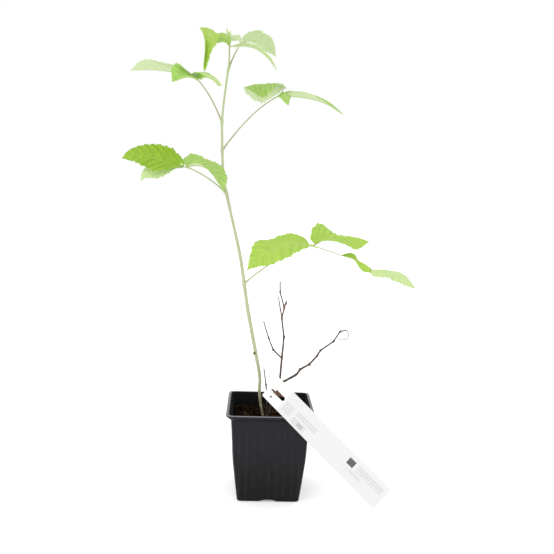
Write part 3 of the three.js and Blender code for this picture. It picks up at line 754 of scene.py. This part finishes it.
def dead_limb(bm, wood):
    """One dead limb with wrinkled bark, knuckles at its bends and a bud on the outside of each."""
    bends = [Vector(p) * MM for p in wood["bends"]]
    thick, thin = (r * MM for r in wood["radii"])
    length = sum((b - a).length for a, b in zip(bends, bends[1:]))
    path = smooth_path(bends, max(OLD_LEAST_STEPS, round(length / OLD_STEP)), OLD_TENSION)
    gap = (path[1] - path[0]).length
    knots = [min(range(len(path)), key=lambda i: (path[i] - bend).length) for bend in bends[1:-1]]

    def radius_at(share, turn, along):
        away = min(abs(along - knot * gap) for knot in knots) / OLD_KNUCKLE_HEIGHT
        wrinkle = noise.noise(Vector((2 * math.cos(turn), 2 * math.sin(turn), along / WRINKLE_SPAN)))
        crack = noise.noise(Vector((math.cos(turn), math.sin(turn), along / CRACK_SPAN)))
        knuckle = OLD_KNUCKLE * math.exp(-(away**2))
        taper = thick + (thin - thick) * share**OLD_TAPER_POWER
        return taper * (1 + WRINKLE * wrinkle + CRACK * crack + knuckle)

    limb(bm, path, radius_at, OLD_SIDES)
    straight = bm.verts.layers.float_vector["straight"]
    for knot, before, bend, after in zip(knots, bends, bends[1:], bends[2:]):
        outward = (2 * bend - before - after).normalized()
        onward = (after - before).normalized()
        radius = radius_at(knot / (len(path) - 1), 0, knot * gap)
        lean = (onward + BUD_OUT * outward).to_track_quat("Z", "Y").to_matrix().to_4x4()
        spot = Matrix.Translation(path[knot] + BUD_OUT * radius * outward)
        size = min(1, BUD_LEAST + radius / BUD_TWIG_RADIUS)
        bud = bmesh.ops.create_icosphere(bm, subdivisions=2, radius=1)["verts"]
        for vert in bud:
            vert[straight] = vert.co * MM
            vert.co.xy *= 1 - BUD_POINT * vert.co.z
        sized = Matrix.Diagonal((*BUD_SIZE, 1)) @ Matrix.Scale(size, 4)
        bmesh.ops.transform(bm, matrix=spot @ lean @ sized, verts=bud)


def dead_bark(name, dark, pale, red, red_from, red_to):
    """Dry grey-brown bark with darker cracks along it, turning red-brown between two heights."""
    material, shader, place = new_finish(name)
    height = place.axis("Z")
    straight = place.node("Attribute", {"attribute_name": "straight"}, None, "Vector")
    cracks = straight.spread((1, 1, 0.12)).noise(0.5 * MM, 3, 0.7)
    blotches = straight.noise(4 * MM, 3, 0.6)
    bare = cracks.step(0.35, 0.65).mix(dark, pale)
    middle, reach = (red_from + red_to) / 2, abs(red_to - red_from) / 2
    ruddy = abs(height - middle).step(reach, 0.6 * reach) * blotches.step(0.3, 0.55)
    link(
        shader,
        Base_Color=ruddy.mix(bare, red),
        Roughness=0.7 + 0.2 * cracks,
        Normal=relief(cracks, 0.15 * MM),
    )
    return material


old_bark = dead_bark("dead_bark", paint("2c2320"), paint("655448"), paint("6f4636"), 186 * MM, 206 * MM)
stub_bark = dead_bark("dead_stub_bark", paint("1c1410"), paint("5a3f30"), paint("7a4c34"), 111 * MM, 119 * MM)
dry_bark = dead_bark("dry_stalk_bark", paint("4c4a4e"), paint("8b898c"), paint("1c0d08"), 40 * MM, 128 * MM)

bm = bmesh.new()
for wood in (OLD_CANE, OLD_SHOOT, OLD_SPUR):
    dead_limb(bm, wood)
main_faces = len(bm.faces)
dead_limb(bm, LABEL_STUB)
bm.faces.ensure_lookup_table()
for face in bm.faces[main_faces:]:
    face.material_index = 1
dead_cane = finished_piece("dead_cane", bm, [old_bark, stub_bark], smooth_angle=60)
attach(dead_cane, "root")
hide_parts("old_cane")

curl_bark = dead_bark("dry_curl_bark", paint("6f645b"), paint("948a80"), paint("7d6e62"), 174 * MM, 182 * MM)
thick, thin = CURL_RADII
for name, node, wood, bark, ends in (
    ("dead_twig_right", "old_twig_right", TWIG_RIGHT, old_bark, [CURL_BENDS]),
    ("dead_twig_left", "old_twig_left", TWIG_LEFT, old_bark, []),
    ("dead_stalk", "dry_stalk", DRY_STALK, dry_bark, []),
):
    bm = bmesh.new()
    dead_limb(bm, wood)
    wood_faces = len(bm.faces)
    for bends in ends:
        path = smooth_path([Vector(p) * MM for p in bends], CURL_STEPS, OLD_TENSION)
        limb(bm, path, lambda share, turn, along: thick + (thin - thick) * share, CURL_SIDES)
    bm.faces.ensure_lookup_table()
    for face in bm.faces[wood_faces:]:
        face.material_index = 1
    dead_wood = finished_piece(name, bm, [bark, curl_bark], smooth_angle=60)
    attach(dead_wood, "root")
    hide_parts(node)


# Leaves: each has a slim stalk off the cane and mostly three leaflets, egg-shaped, sharply toothed and
# quilted between the side veins. Young blades are thin, bright green above and pale below.

# In the tables, a heading is in degrees about +Z from +X, a pitch is above level and lengths are in
# millimetres. A stem and a chord each have a length, a heading and a pitch. bend turns the midrib down from
# root to tip, hook puts more of that near the tip and sway bows it to its left. A higher point draws the tip
# out. roll turns the blade about its chord and twist adds to it. cup lifts its left half, its right half and
# both at the tip. wave lifts each half near the root and drops it near the tip. onward starts the stem at
# that share along the blade before it.
STALKS = {
    "leaf_low_right": dict(at=221, heading=-24, reach=71.2, rise=43.8, arch=5),
    "leaf_middle_left": dict(at=313, heading=-151, reach=44.8, rise=23.8, arch=3),
    "leaf_upper_right": dict(at=356, heading=22, reach=62.6, rise=61.3, arch=7),
    "leaf_upper_left": dict(at=384, heading=153, reach=32.2, rise=45.2, arch=5),
    "leaf_top_right": dict(at=436, heading=57, reach=21.4, rise=31, arch=2),
    "shoot_top": dict(at=454, heading=-107, reach=0.3, rise=4.8, arch=0),
}
LEAFLETS = {
    "leaf_low_right": [
        dict(stem=(31.3, -15, -16), chord=(38, 2, -26), bend=33, hook=4.1, sway=5.3, tone="fresh",
             width=17.3, point=0.65, roll=16, twist=19, cup=(-26, 6, -38), wave=(43, 24)),
        dict(stem=(3.4, -70, -51), chord=(48, 1, -20), bend=61, hook=0.9, sway=4.1, tone="pale",
             width=24.2, point=0.86, roll=33, twist=-14, cup=(-29, -26, -14), wave=(-13, 16), onward=0.85),
        dict(stem=(2, -148, -9), chord=(75, -148, -18), bend=70, hook=0.7, sway=-2.5, tone="fresh",
             width=57, point=1.07, roll=-20, twist=19, cup=(6, 21, -13), wave=(9, -21)),
        dict(stem=(4.5, 12, 2), chord=(57, 12, 4), bend=63, hook=0.6, sway=5.4, tone="fresh",
             width=61, point=1.07, roll=21, twist=-9, cup=(10, 35, -54), wave=(11, -1)),
    ],
    "leaf_middle_left": [
        dict(stem=(3, -174, 3), chord=(58, -174, 5), bend=71, hook=4.6, sway=3.7, tone="deep",
             width=44, point=1.05, roll=-21, twist=-41, cup=(28, 21, -17), wave=(-13, 2)),
        dict(stem=(1.5, -141, -9), chord=(50, -141, -19), bend=70, hook=4.8, sway=-5.3, tone="pale",
             width=26, point=1.11, roll=-6, twist=-28, cup=(0, 40, -39), wave=(19, -5)),
        dict(stem=(1.5, -3, -16), chord=(43, -3, -33), bend=112, hook=0.6, sway=-7.5, tone="mild",
             width=45, point=1.15, roll=-14, twist=23, cup=(67, -6, -5), wave=(-18, -1)),
    ],
    "leaf_upper_right": [
        dict(stem=(3, 6, -7), chord=(67, 6, -14), bend=37, hook=1.6, sway=-3.2, tone="mild",
             width=34, point=0.72, roll=4, twist=15, cup=(31, 15, -5), wave=(-3, 3)),
        dict(stem=(8.8, 0, 70), chord=(44, -159, -7), bend=46, hook=1.3, sway=-3.5, tone="mild",
             width=54, point=0.72, roll=-1, twist=3, cup=(-24, -31, -35), wave=(18, -7)),
        dict(stem=(1.5, -78, -13), chord=(35, -78, -26), bend=93, hook=1.2, sway=-0.8, tone="mild",
             width=18, point=0.96, roll=9, twist=-11, cup=(-32, -29, -29), wave=(6, -14)),
    ],
    "leaf_upper_left": [
        dict(stem=(3, 168, 3), chord=(68, 168, 6), bend=40, hook=0.6, sway=-0.2, tone="pale",
             width=64, point=1.06, roll=6, twist=-18, cup=(5, 6, 14), wave=(-7, 1)),
        dict(stem=(1.5, -116, -8), chord=(43, -116, -16), bend=38, hook=1.2, sway=-2.2, tone="young",
             width=27, point=0.81, roll=-24, twist=-20, cup=(6, 11, 37), wave=(-4, 7)),
        dict(stem=(1.5, -41, -9), chord=(37, -41, -17), bend=88, hook=1.2, sway=-1.3, tone="pale",
             width=29, point=0.77, roll=7, twist=-43, cup=(5, 0, -43), wave=(-7, 1)),
        dict(stem=(1.5, -53, 0), chord=(26, -55, 1), bend=47, hook=0.6, sway=-0.2, tone="young",
             width=7, point=0.76, roll=85, twist=37, cup=(15, 10, 10), wave=(-6, 19)),
    ],
    "leaf_top_right": [
        dict(stem=(1.5, 23, -7), chord=(39, 23, -14), bend=92, hook=0.7, sway=-2.5, tone="pale",
             width=30, point=1.15, roll=-10, twist=6, cup=(6, 36, 1), wave=(10, -12)),
        dict(stem=(1, 171, 11), chord=(13, 171, 23), bend=101, hook=2.1, sway=0.7, tone="pale",
             width=10, point=0.61, roll=62, twist=23, cup=(42, 60, 47), wave=(-18, 20)),
    ],
    "shoot_top": [
        dict(stem=(18, -157, 34), chord=(53, -104, -54), bend=112, hook=2.5, sway=-8.4, tone="fresh",
             width=21, point=0.79, roll=-37, twist=-23, cup=(19, 16, 45), wave=(-34, -19)),
        dict(stem=(1.7, -90, 45), chord=(15, 168, 18), bend=98, hook=1.7, sway=-0.5, tone="mild",
             width=11.5, point=0.69, roll=-63, twist=-25, cup=(37, 25, -2), wave=(16, -7)),
        dict(stem=(4.9, -57, -14), chord=(53, -20, -28), bend=89, hook=1.4, sway=-2.9, tone="pale",
             width=26, point=0.94, roll=6, twist=-32, cup=(-2, -27, -7), wave=(3, 8)),
        dict(stem=(1, 120, 75), chord=(17, 150, 74), bend=12, hook=1, sway=0, tone="pale",
             width=6, point=0.92, roll=0, twist=0, cup=(48, 48, 40), wave=(0, 0)),
        dict(stem=(1, 0, 75), chord=(14, 60, 84), bend=10, hook=1, sway=0, tone="pale",
             width=5, point=0.92, roll=0, twist=0, cup=(48, 48, 40), wave=(0, 0)),
    ],
}
ROOT_POWER = 0.46
SWEEP_ROOT = -0.05
SWEEP_TIP = 0.14
NARROWEST = 0.35 * MM
BLADE_THICKNESS = 0.35 * MM
BLADE_COLUMNS = 18
TOOTH_SPACING = 2.6 * MM
TOOTH_ROWS = 3
TOOTH_DEPTH = 1.3 * MM
TOOTH_SHARE = 0.12
FEWEST_TEETH = 6
LONG_TOOTH = 1.5
LONG_TOOTH_EVERY = 3
LOBE = 0.05
RAGGED = 0.16
RAGGED_PACE = 6
HALVES_APART = 3
BLADE_EDGE = 0.99
QUILT = 0.034
QUILT_ROUND = 0.8
QUILT_FADE = 0.6
GUTTER = 0.6
GUTTER_WIDTH = 0.06
CRUMPLE = 0.012
CRUMPLE_ALONG = 5
CRUMPLE_ACROSS = 3
VEIN_PAIRS = 7
VEIN_SLOPE = 0.3
MIDRIB_STEPS = 60
STALK_RADII = (0.8 * MM, 0.5 * MM)
STALK_FOOT_RADIUS = 1.5 * MM
STALK_FOOT_LENGTH = 4 * MM
STALK_KNOB = 0.35 * MM
STALK_KNOB_POINTS = 3
STALK_POINTS = 40
STEM_RADII = (0.5 * MM, 0.4 * MM)
RIB_RADII = (0.4 * MM, 0.12 * MM)
STOUT_LENGTH = 30 * MM
RIB_POINTS = (0.1, 0.3, 0.5, 0.7, 0.9)
RIB_DROP = 0.2 * MM
RIB_LEAST_STEPS = 12
RIB_STEPS_PER_MM = 0.5
STALK_SIDES = 12
RIB_SIDES = 8
# Painted light: each leaf tone glows with this share of its own colour. The pale, young and underside tones
# glow more, which lifts the leaflets and undersides that sit in shade.
LIGHT_THROUGH = 0.08
LIGHT_THROUGH_THIN = 0.3
# Each tone gives a light green, a deep green, a vein colour and a glow. Part of the difference between tones
# is the leaves' own colour and part is painted light: leaflets that sit in shade take the lighter tones.
LEAF_PAINTS = {
    "fresh": ("a8c852", "97bc43", "bdd47a", LIGHT_THROUGH),
    "mild": ("a8c76b", "91b555", "bed28e", LIGHT_THROUGH),
    "deep": ("94b930", "79a21e", "a8c858", LIGHT_THROUGH),
    "pale": ("b4c88c", "a8c07d", "c2d2a5", LIGHT_THROUGH_THIN),
    "young": ("a4c768", "86ae4a", "b4cd8a", LIGHT_THROUGH_THIN),
    "underside": ("b3c196", "a9ba8a", "c0cba9", LIGHT_THROUGH_THIN),
}
TONES = list(LEAF_PAINTS)
UNDERSIDE = TONES.index("underside")
UP = Vector((0, 0, 1))


def heading_of(heading, pitch=0):
    """A unit direction from its heading and pitch in degrees."""
    turn, climb = math.radians(heading), math.radians(pitch)
    level = math.cos(climb)
    return Vector((level * math.cos(turn), level * math.sin(turn), math.sin(climb)))


def blade_share(s, point):
    """Half width of a blade as a share of its widest, from root 0 to tip 1."""
    widest = ROOT_POWER / (ROOT_POWER + point)
    peak = widest**ROOT_POWER * (1 - widest) ** point
    return s**ROOT_POWER * (1 - s) ** point / peak


def midrib_of(length, bend, hook, sway):
    """A function that gives, from root 0 to tip 1, the midrib's place along its chord, to the left of
    it and above it, and its slope there."""
    middles = (np.arange(MIDRIB_STEPS) + 0.5) / MIDRIB_STEPS
    slopes = -math.radians(bend) * middles**hook
    raw_along = np.concatenate([[0], np.cumsum(np.cos(slopes))])
    raw_above = np.concatenate([[0], np.cumsum(np.sin(slopes))])
    lift = -math.atan2(raw_above[-1], raw_along[-1])
    scale = length / math.hypot(raw_along[-1], raw_above[-1])
    along = scale * (raw_along * math.cos(lift) - raw_above * math.sin(lift))
    above = scale * (raw_along * math.sin(lift) + raw_above * math.cos(lift))

    def at(s):
        within = min(1, max(0, s))
        i = min(MIDRIB_STEPS - 1, int(within * MIDRIB_STEPS))
        rest = s * MIDRIB_STEPS - i
        slope = lift - math.radians(bend) * within**hook
        left = 4 * sway * MM * within * (1 - within)
        spot = Vector((along[i], left, above[i]))
        return spot + rest * Vector((along[i + 1] - along[i], 0, above[i + 1] - above[i])), slope

    return at


def vein_start(s, outer):
    """Where on the midrib the side vein starts that passes through this place on the blade."""
    return (s - VEIN_SLOPE * outer) / (1 - VEIN_SLOPE * outer)


def blade(bm, midrib, seat, length, leaflet):
    """One leaflet: a grid drawn into a toothed, quilted blade, then given its thickness."""
    width = leaflet["width"] * MM
    *sides, tip = leaflet["cup"]
    rows = TOOTH_ROWS * max(FEWEST_TEETH, round(length / TOOTH_SPACING))
    grid = bmesh.ops.create_grid(bm, x_segments=rows, y_segments=BLADE_COLUMNS, size=0.5, calc_uvs=True)
    for vert in grid["verts"]:
        s = min(1, max(0, vert.co.x + 0.5))
        t = min(1, max(-1, 2 * vert.co.y))
        outer = abs(t)
        tooth, row = divmod(round(s * rows), TOOTH_ROWS)
        smooth_half = 0.5 * width * blade_share(s, leaflet["point"])
        size = min(TOOTH_DEPTH, TOOTH_SHARE * smooth_half)
        size *= LONG_TOOTH if tooth % LONG_TOOTH_EVERY == 0 else 1
        bite = size * (row / (TOOTH_ROWS - 1) - 0.5) if outer > BLADE_EDGE else 0
        lobe = LOBE * (1 - 2 * abs(math.sin(math.pi * VEIN_PAIRS * vein_start(s, outer))))
        torn = noise.noise(Vector((RAGGED_PACE * s, math.copysign(HALVES_APART, t), leaflet["width"])))
        half = max(NARROWEST, smooth_half * (1 + outer**2 * (lobe + RAGGED * torn)) + bite)
        sweep = SWEEP_ROOT + (SWEEP_TIP - SWEEP_ROOT) * math.sqrt(s) if s > 0 else 0
        rib, slope = midrib(s + outer * (1 - s) * sweep)
        hand = 0 if t > 0 else 1
        cup = sides[hand] + (tip - sides[hand]) * s
        fold = math.radians(cup + leaflet["wave"][hand] * math.sin(math.tau * s))
        swell = abs(math.sin(math.pi * VEIN_PAIRS * vein_start(s, outer))) ** QUILT_ROUND - 0.5
        gutter = GUTTER * math.exp(-((outer / GUTTER_WIDTH) ** 2))
        quilt = QUILT * 2 * half * (swell * math.sin(math.pi * outer) ** QUILT_FADE - gutter)
        rumpled = noise.noise(Vector((CRUMPLE_ALONG * s, CRUMPLE_ACROSS * t, leaflet["width"])))
        aside = t * half * math.cos(fold)
        crumple = CRUMPLE * width * rumpled * math.sin(math.pi * s)
        raised = outer * half * math.sin(fold) + quilt + crumple
        turn = math.radians(leaflet["twist"] * s)
        beside = aside * math.cos(turn) - raised * math.sin(turn)
        lift = aside * math.sin(turn) + raised * math.cos(turn)
        vert.co = seat @ (rib + Vector((-lift * math.sin(slope), beside, lift * math.cos(slope))))
    under = list({face for vert in grid["verts"] for face in vert.link_faces})
    shell = bmesh.ops.extrude_face_region(bm, geom=under, use_keep_orig=True)["geom"]
    bm.normal_update()
    for face in under:
        face.material_index = UNDERSIDE
    for part in shell:
        if isinstance(part, bmesh.types.BMFace):
            part.material_index = TONES.index(leaflet["tone"])
        elif isinstance(part, bmesh.types.BMVert):
            part.co += BLADE_THICKNESS * part.normal


def leaf_finish(tone, light, deep, vein_pale, through):
    """A soft leaf surface: mottled green, paler along its veins, which are sunk between the quilting, with
    painted light and shade on the quilting.
    It glows with a little of its own colour, painted light for the daylight that comes through a blade, which
    also lifts the shade where leaflets overlap."""
    material, shader, place = new_finish("leaf_" + tone)
    flat = place.node("TexCoord", None, None, "UV")
    s, t = flat.axis("X"), flat.axis("Y")
    outer = abs(2 * t - 1)
    start = (s - VEIN_SLOPE * outer) / (1 - VEIN_SLOPE * outer)
    beside_vein = abs((VEIN_PAIRS * start).math("FRACT", VEIN_PAIRS * start) - 0.5)
    side_veins = beside_vein.step(0.42, 0.5) * outer.step(1, 0.6)
    midrib_line = outer.step(0.07, 0.02)
    veins = side_veins.math("MAXIMUM", side_veins, midrib_line)
    mottle = place.noise(6 * MM, 3, 0.6)
    cells = place.noise(0.9 * MM, 2, 0.6)
    # Painted light and shade: the middle of each quilted bulge between side veins takes the light green and
    # the sides beside the veins the deep green, for the light on the quilting.
    painted_quilt_light = beside_vein.step(0.42, 0.08)
    green = (0.5 * mottle.step(0.3, 0.7) + 0.5 * painted_quilt_light).mix(paint(deep), paint(light))
    colour = (0.55 * veins).mix(green, paint(vein_pale))
    link(
        shader,
        Base_Color=colour,
        Emission_Color=colour,
        Emission_Strength=through,
        Roughness=0.5 + 0.2 * cells,
        Normal=relief(mottle, 0.3 * MM, 0.3),
        Specular_IOR_Level=0.3,
    )
    return material


leaf_skins = [leaf_finish(tone, *paints) for tone, paints in LEAF_PAINTS.items()]

stalk_skin, shader, place = new_finish("leaf_stalk_skin")
straight = place.node("Attribute", {"attribute_name": "straight"}, None, "Vector")
streaks = straight.spread((1, 1, 0.1)).noise(0.6 * MM, 2)
flush = 0.7 * place.noise(14 * MM, 2).step(0.3, 0.65)
link(
    shader,
    Base_Color=flush.mix(streaks.mix(paint("a2b07c"), paint("b9c595")), paint("b19c84")),
    Roughness=0.5 + 0.15 * streaks,
    Normal=relief(streaks, 0.08 * MM),
)

for name, stalk in STALKS.items():
    foot = cane_at(stalk["at"] * MM)
    end = foot + stalk["reach"] * MM * heading_of(stalk["heading"]) + stalk["rise"] * MM * UP
    crown = (foot + end) / 2 + 2 * stalk["arch"] * MM * UP
    leave, arrive = (near + (crown - near) * 2 / 3 for near in (foot, end))
    line = geometry.interpolate_bezier(foot, leave, arrive, end, STALK_POINTS)
    stalks, blades = bmesh.new(), bmesh.new()
    blades.loops.layers.uv.new("blade")
    thick, thin = STALK_RADII
    base = STALK_FOOT_RADIUS if name != "shoot_top" else CANE_TIP_RADIUS

    def stalk_radius(share, turn, along):
        swollen = max(0, base - thick) * math.exp(-along / STALK_FOOT_LENGTH)
        from_end = (1 - share) * len(line) / STALK_KNOB_POINTS
        knob = STALK_KNOB * math.exp(-(from_end**2))
        return thick + (thin - thick) * share + swollen + knob

    limb(stalks, line, stalk_radius, STALK_SIDES)
    for leaflet in LEAFLETS[name]:
        stem_length, *stem_way = leaflet["stem"]
        chord_length, *chord_way = leaflet["chord"]
        length = chord_length * MM
        start = seat @ midrib(leaflet["onward"])[0] if "onward" in leaflet else end
        root = start + stem_length * MM * heading_of(*stem_way)
        forward = heading_of(*chord_way)
        upward = (UP - forward * UP.dot(forward)).normalized()
        upward.rotate(Matrix.Rotation(math.radians(leaflet["roll"]), 3, forward))
        turned = Matrix((forward, upward.cross(forward), upward)).transposed().to_4x4()
        seat = Matrix.Translation(root) @ turned
        midrib = midrib_of(length, leaflet["bend"], leaflet["hook"], leaflet["sway"])
        gutter = GUTTER * QUILT * leaflet["width"] * MM
        sunk = [RIB_DROP + gutter * blade_share(s, leaflet["point"]) for s in RIB_POINTS]
        under_rib = [seat @ (midrib(s)[0] - drop * UP) for s, drop in zip(RIB_POINTS, sunk)]
        slender = min(1, length / STOUT_LENGTH)
        for bm, bends, (wide, fine) in (
            (stalks, [start, root, under_rib[0]], STEM_RADII),
            (blades, [root, *under_rib], RIB_RADII),
        ):
            made = len(bm.faces)
            path = smooth_path(bends, max(RIB_LEAST_STEPS, round(length / MM * RIB_STEPS_PER_MM)))
            limb(bm, path, lambda share, turn, along: slender * (wide + (fine - wide) * share), RIB_SIDES)
            bm.faces.ensure_lookup_table()
            for face in bm.faces[made:]:
                face.material_index = UNDERSIDE if bm is blades else 0
        blade(blades, midrib, seat, length, leaflet)
    stalk_piece = finished_piece(name + "_stalks", stalks, [stalk_skin], smooth_angle=60)
    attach(stalk_piece, "root")
    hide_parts(name)
    blade_piece = finished_piece(name + "_blades", blades, leaf_skins, smooth_angle=60)
    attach(blade_piece, "root")
    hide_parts(name)


# Label: a stiff strip of white plastic with a slot, by which it hangs on a stub of the dead cane, and a
# punched hole. It leans over the pot's rim. It carries plain ruled lines and plain blocks only.
LABEL_HEAD = Vector((-1.3, -33, 122)) * MM
LABEL_FOOT = Vector((104.3, -92, 33.3)) * MM
LABEL_ACROSS = Vector((0.7, 0.1, 0.7))
LABEL_WIDTH = 24.5 * MM
LABEL_THICKNESS = 0.6 * MM
LABEL_BOW = 1.5 * MM
LABEL_CORNER = 1.5 * MM
LABEL_CUTS = 36
LABEL_BRIGHT_END = (19, 21)
CORNER_STEPS = 6
SLOT_STEPS = 12
PUNCH_SIDES = 24
SLOT_START = 3 * MM
SLOT_END = 20 * MM
SLOT_RADIUS = 2.1 * MM
PUNCH_PLACE = (7.7 * MM, -7 * MM)
PUNCH_RADIUS = 1 * MM
INK_EDGE = 0.15
LINE_INK = 0.22
RULED_PATCHES = [
    (38, 64, -2, 3.5, 2.6),
    (23, 34, -9, 1.5, 2.1),
    (115, 146, 1, 7.5, 2.5),
    (110, 124, -5, -1, 2.1),
]
RULED_BAR = (107.6, 108, -11, -1)
INKED_BLOCKS = [
    (0.12, (38, 55, -10.5, -4)),
    (0.25, (45, 52, -9, -5.5)),
    (0.9, (103.7, 111.4, 0.4, 7)),
]


def arc(centre, radius, first, last, steps):
    """Points on an arc between two angles in degrees."""
    turns = [math.radians(first + (last - first) * i / steps) for i in range(steps + 1)]
    return [Vector((centre[0] + radius * math.cos(a), centre[1] + radius * math.sin(a), 0)) for a in turns]


label_run = LABEL_FOOT - LABEL_HEAD
label_length = label_run.length
half = LABEL_WIDTH / 2 - LABEL_CORNER
corners = [
    ((label_length - LABEL_CORNER, half), 0),
    ((LABEL_CORNER, half), 90),
    ((LABEL_CORNER, -half), 180),
    ((label_length - LABEL_CORNER, -half), 270),
]
outlines = [
    [point for centre, turn in corners for point in arc(centre, LABEL_CORNER, turn, turn + 90, CORNER_STEPS)],
    arc((SLOT_START + SLOT_RADIUS, 0), SLOT_RADIUS, 90, 270, SLOT_STEPS)
    + arc((SLOT_END - SLOT_RADIUS, 0), SLOT_RADIUS, -90, 90, SLOT_STEPS),
    arc(PUNCH_PLACE, PUNCH_RADIUS, 0, 360 - 360 / PUNCH_SIDES, PUNCH_SIDES - 1),
]
bm = bmesh.new()
for outline in outlines:
    verts = [bm.verts.new(point) for point in outline]
    for a, b in zip(verts, verts[1:] + verts[:1]):
        bm.edges.new((a, b))
bmesh.ops.triangle_fill(bm, use_beauty=True, edges=bm.edges)
for i in range(1, LABEL_CUTS):
    cut_at = Vector((label_length * i / LABEL_CUTS, 0, 0))
    everything = bm.verts[:] + bm.edges[:] + bm.faces[:]
    bmesh.ops.bisect_plane(bm, geom=everything, plane_co=cut_at, plane_no=(1, 0, 0))
back_faces = list(bm.faces)
front = bmesh.ops.extrude_face_region(bm, geom=back_faces, use_keep_orig=True)["geom"]
for vert in (e for e in front if isinstance(e, bmesh.types.BMVert)):
    vert.co.z += LABEL_THICKNESS
flat = bm.loops.layers.uv.new("flat")
for face in bm.faces:
    for loop in face.loops:
        loop[flat].uv = loop.vert.co.xy / MM
forward = label_run.normalized()
across = (LABEL_ACROSS - forward * LABEL_ACROSS.dot(forward)).normalized()
axes = Matrix((forward, across, forward.cross(across))).transposed().to_4x4()
for vert in bm.verts:
    vert.co.z += LABEL_BOW * math.sin(math.pi * vert.co.x / label_length) ** 2 - LABEL_THICKNESS / 2
bmesh.ops.transform(bm, matrix=Matrix.Translation(LABEL_HEAD) @ axes, verts=bm.verts)

label_plastic, shader, place = new_finish("white_label_plastic")
on_label = place.node("TexCoord", None, None, "UV")
along, aside = on_label.axis("X"), on_label.axis("Y")


def band(distance, low, high):
    """1 between two distances."""
    return distance.step(low - INK_EDGE, low + INK_EDGE) * distance.step(high + INK_EDGE, high - INK_EDGE)


def block(along_from, along_to, aside_from, aside_to):
    """1 inside a rectangle on the label, in millimetres from its head and its middle line."""
    return band(along, along_from, along_to) * band(aside, aside_from, aside_to)


def ruled(along_from, along_to, aside_from, aside_to, pitch):
    """Ruled lines that run along the label inside a rectangle, that pitch apart."""
    beside = abs((aside / pitch).math("FRACT", aside / pitch) - 0.5)
    return block(along_from, along_to, aside_from, aside_to) * beside.step(0.28, 0.2)


lines = sum((ruled(*patch) for patch in RULED_PATCHES), block(*RULED_BAR))
ink = sum((strength * block(*patch) for strength, patch in INKED_BLOCKS), LINE_INK * lines)
scuffs = place.noise(4 * MM, 4, 0.6)
card = along.step(*LABEL_BRIGHT_END).mix(paint("f1f0ec"), scuffs.mix(paint("dcdcdc"), paint("e1e1e1")))
link(
    shader,
    Base_Color=ink.mix(card, paint("2c2c2e")),
    Roughness=0.38 + 0.15 * scuffs,
    Normal=relief(scuffs, 0.05 * MM, 0.4),
)
label = finished_piece("plant_label", bm, [label_plastic], smooth_angle=30)
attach(label, "root")
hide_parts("label")
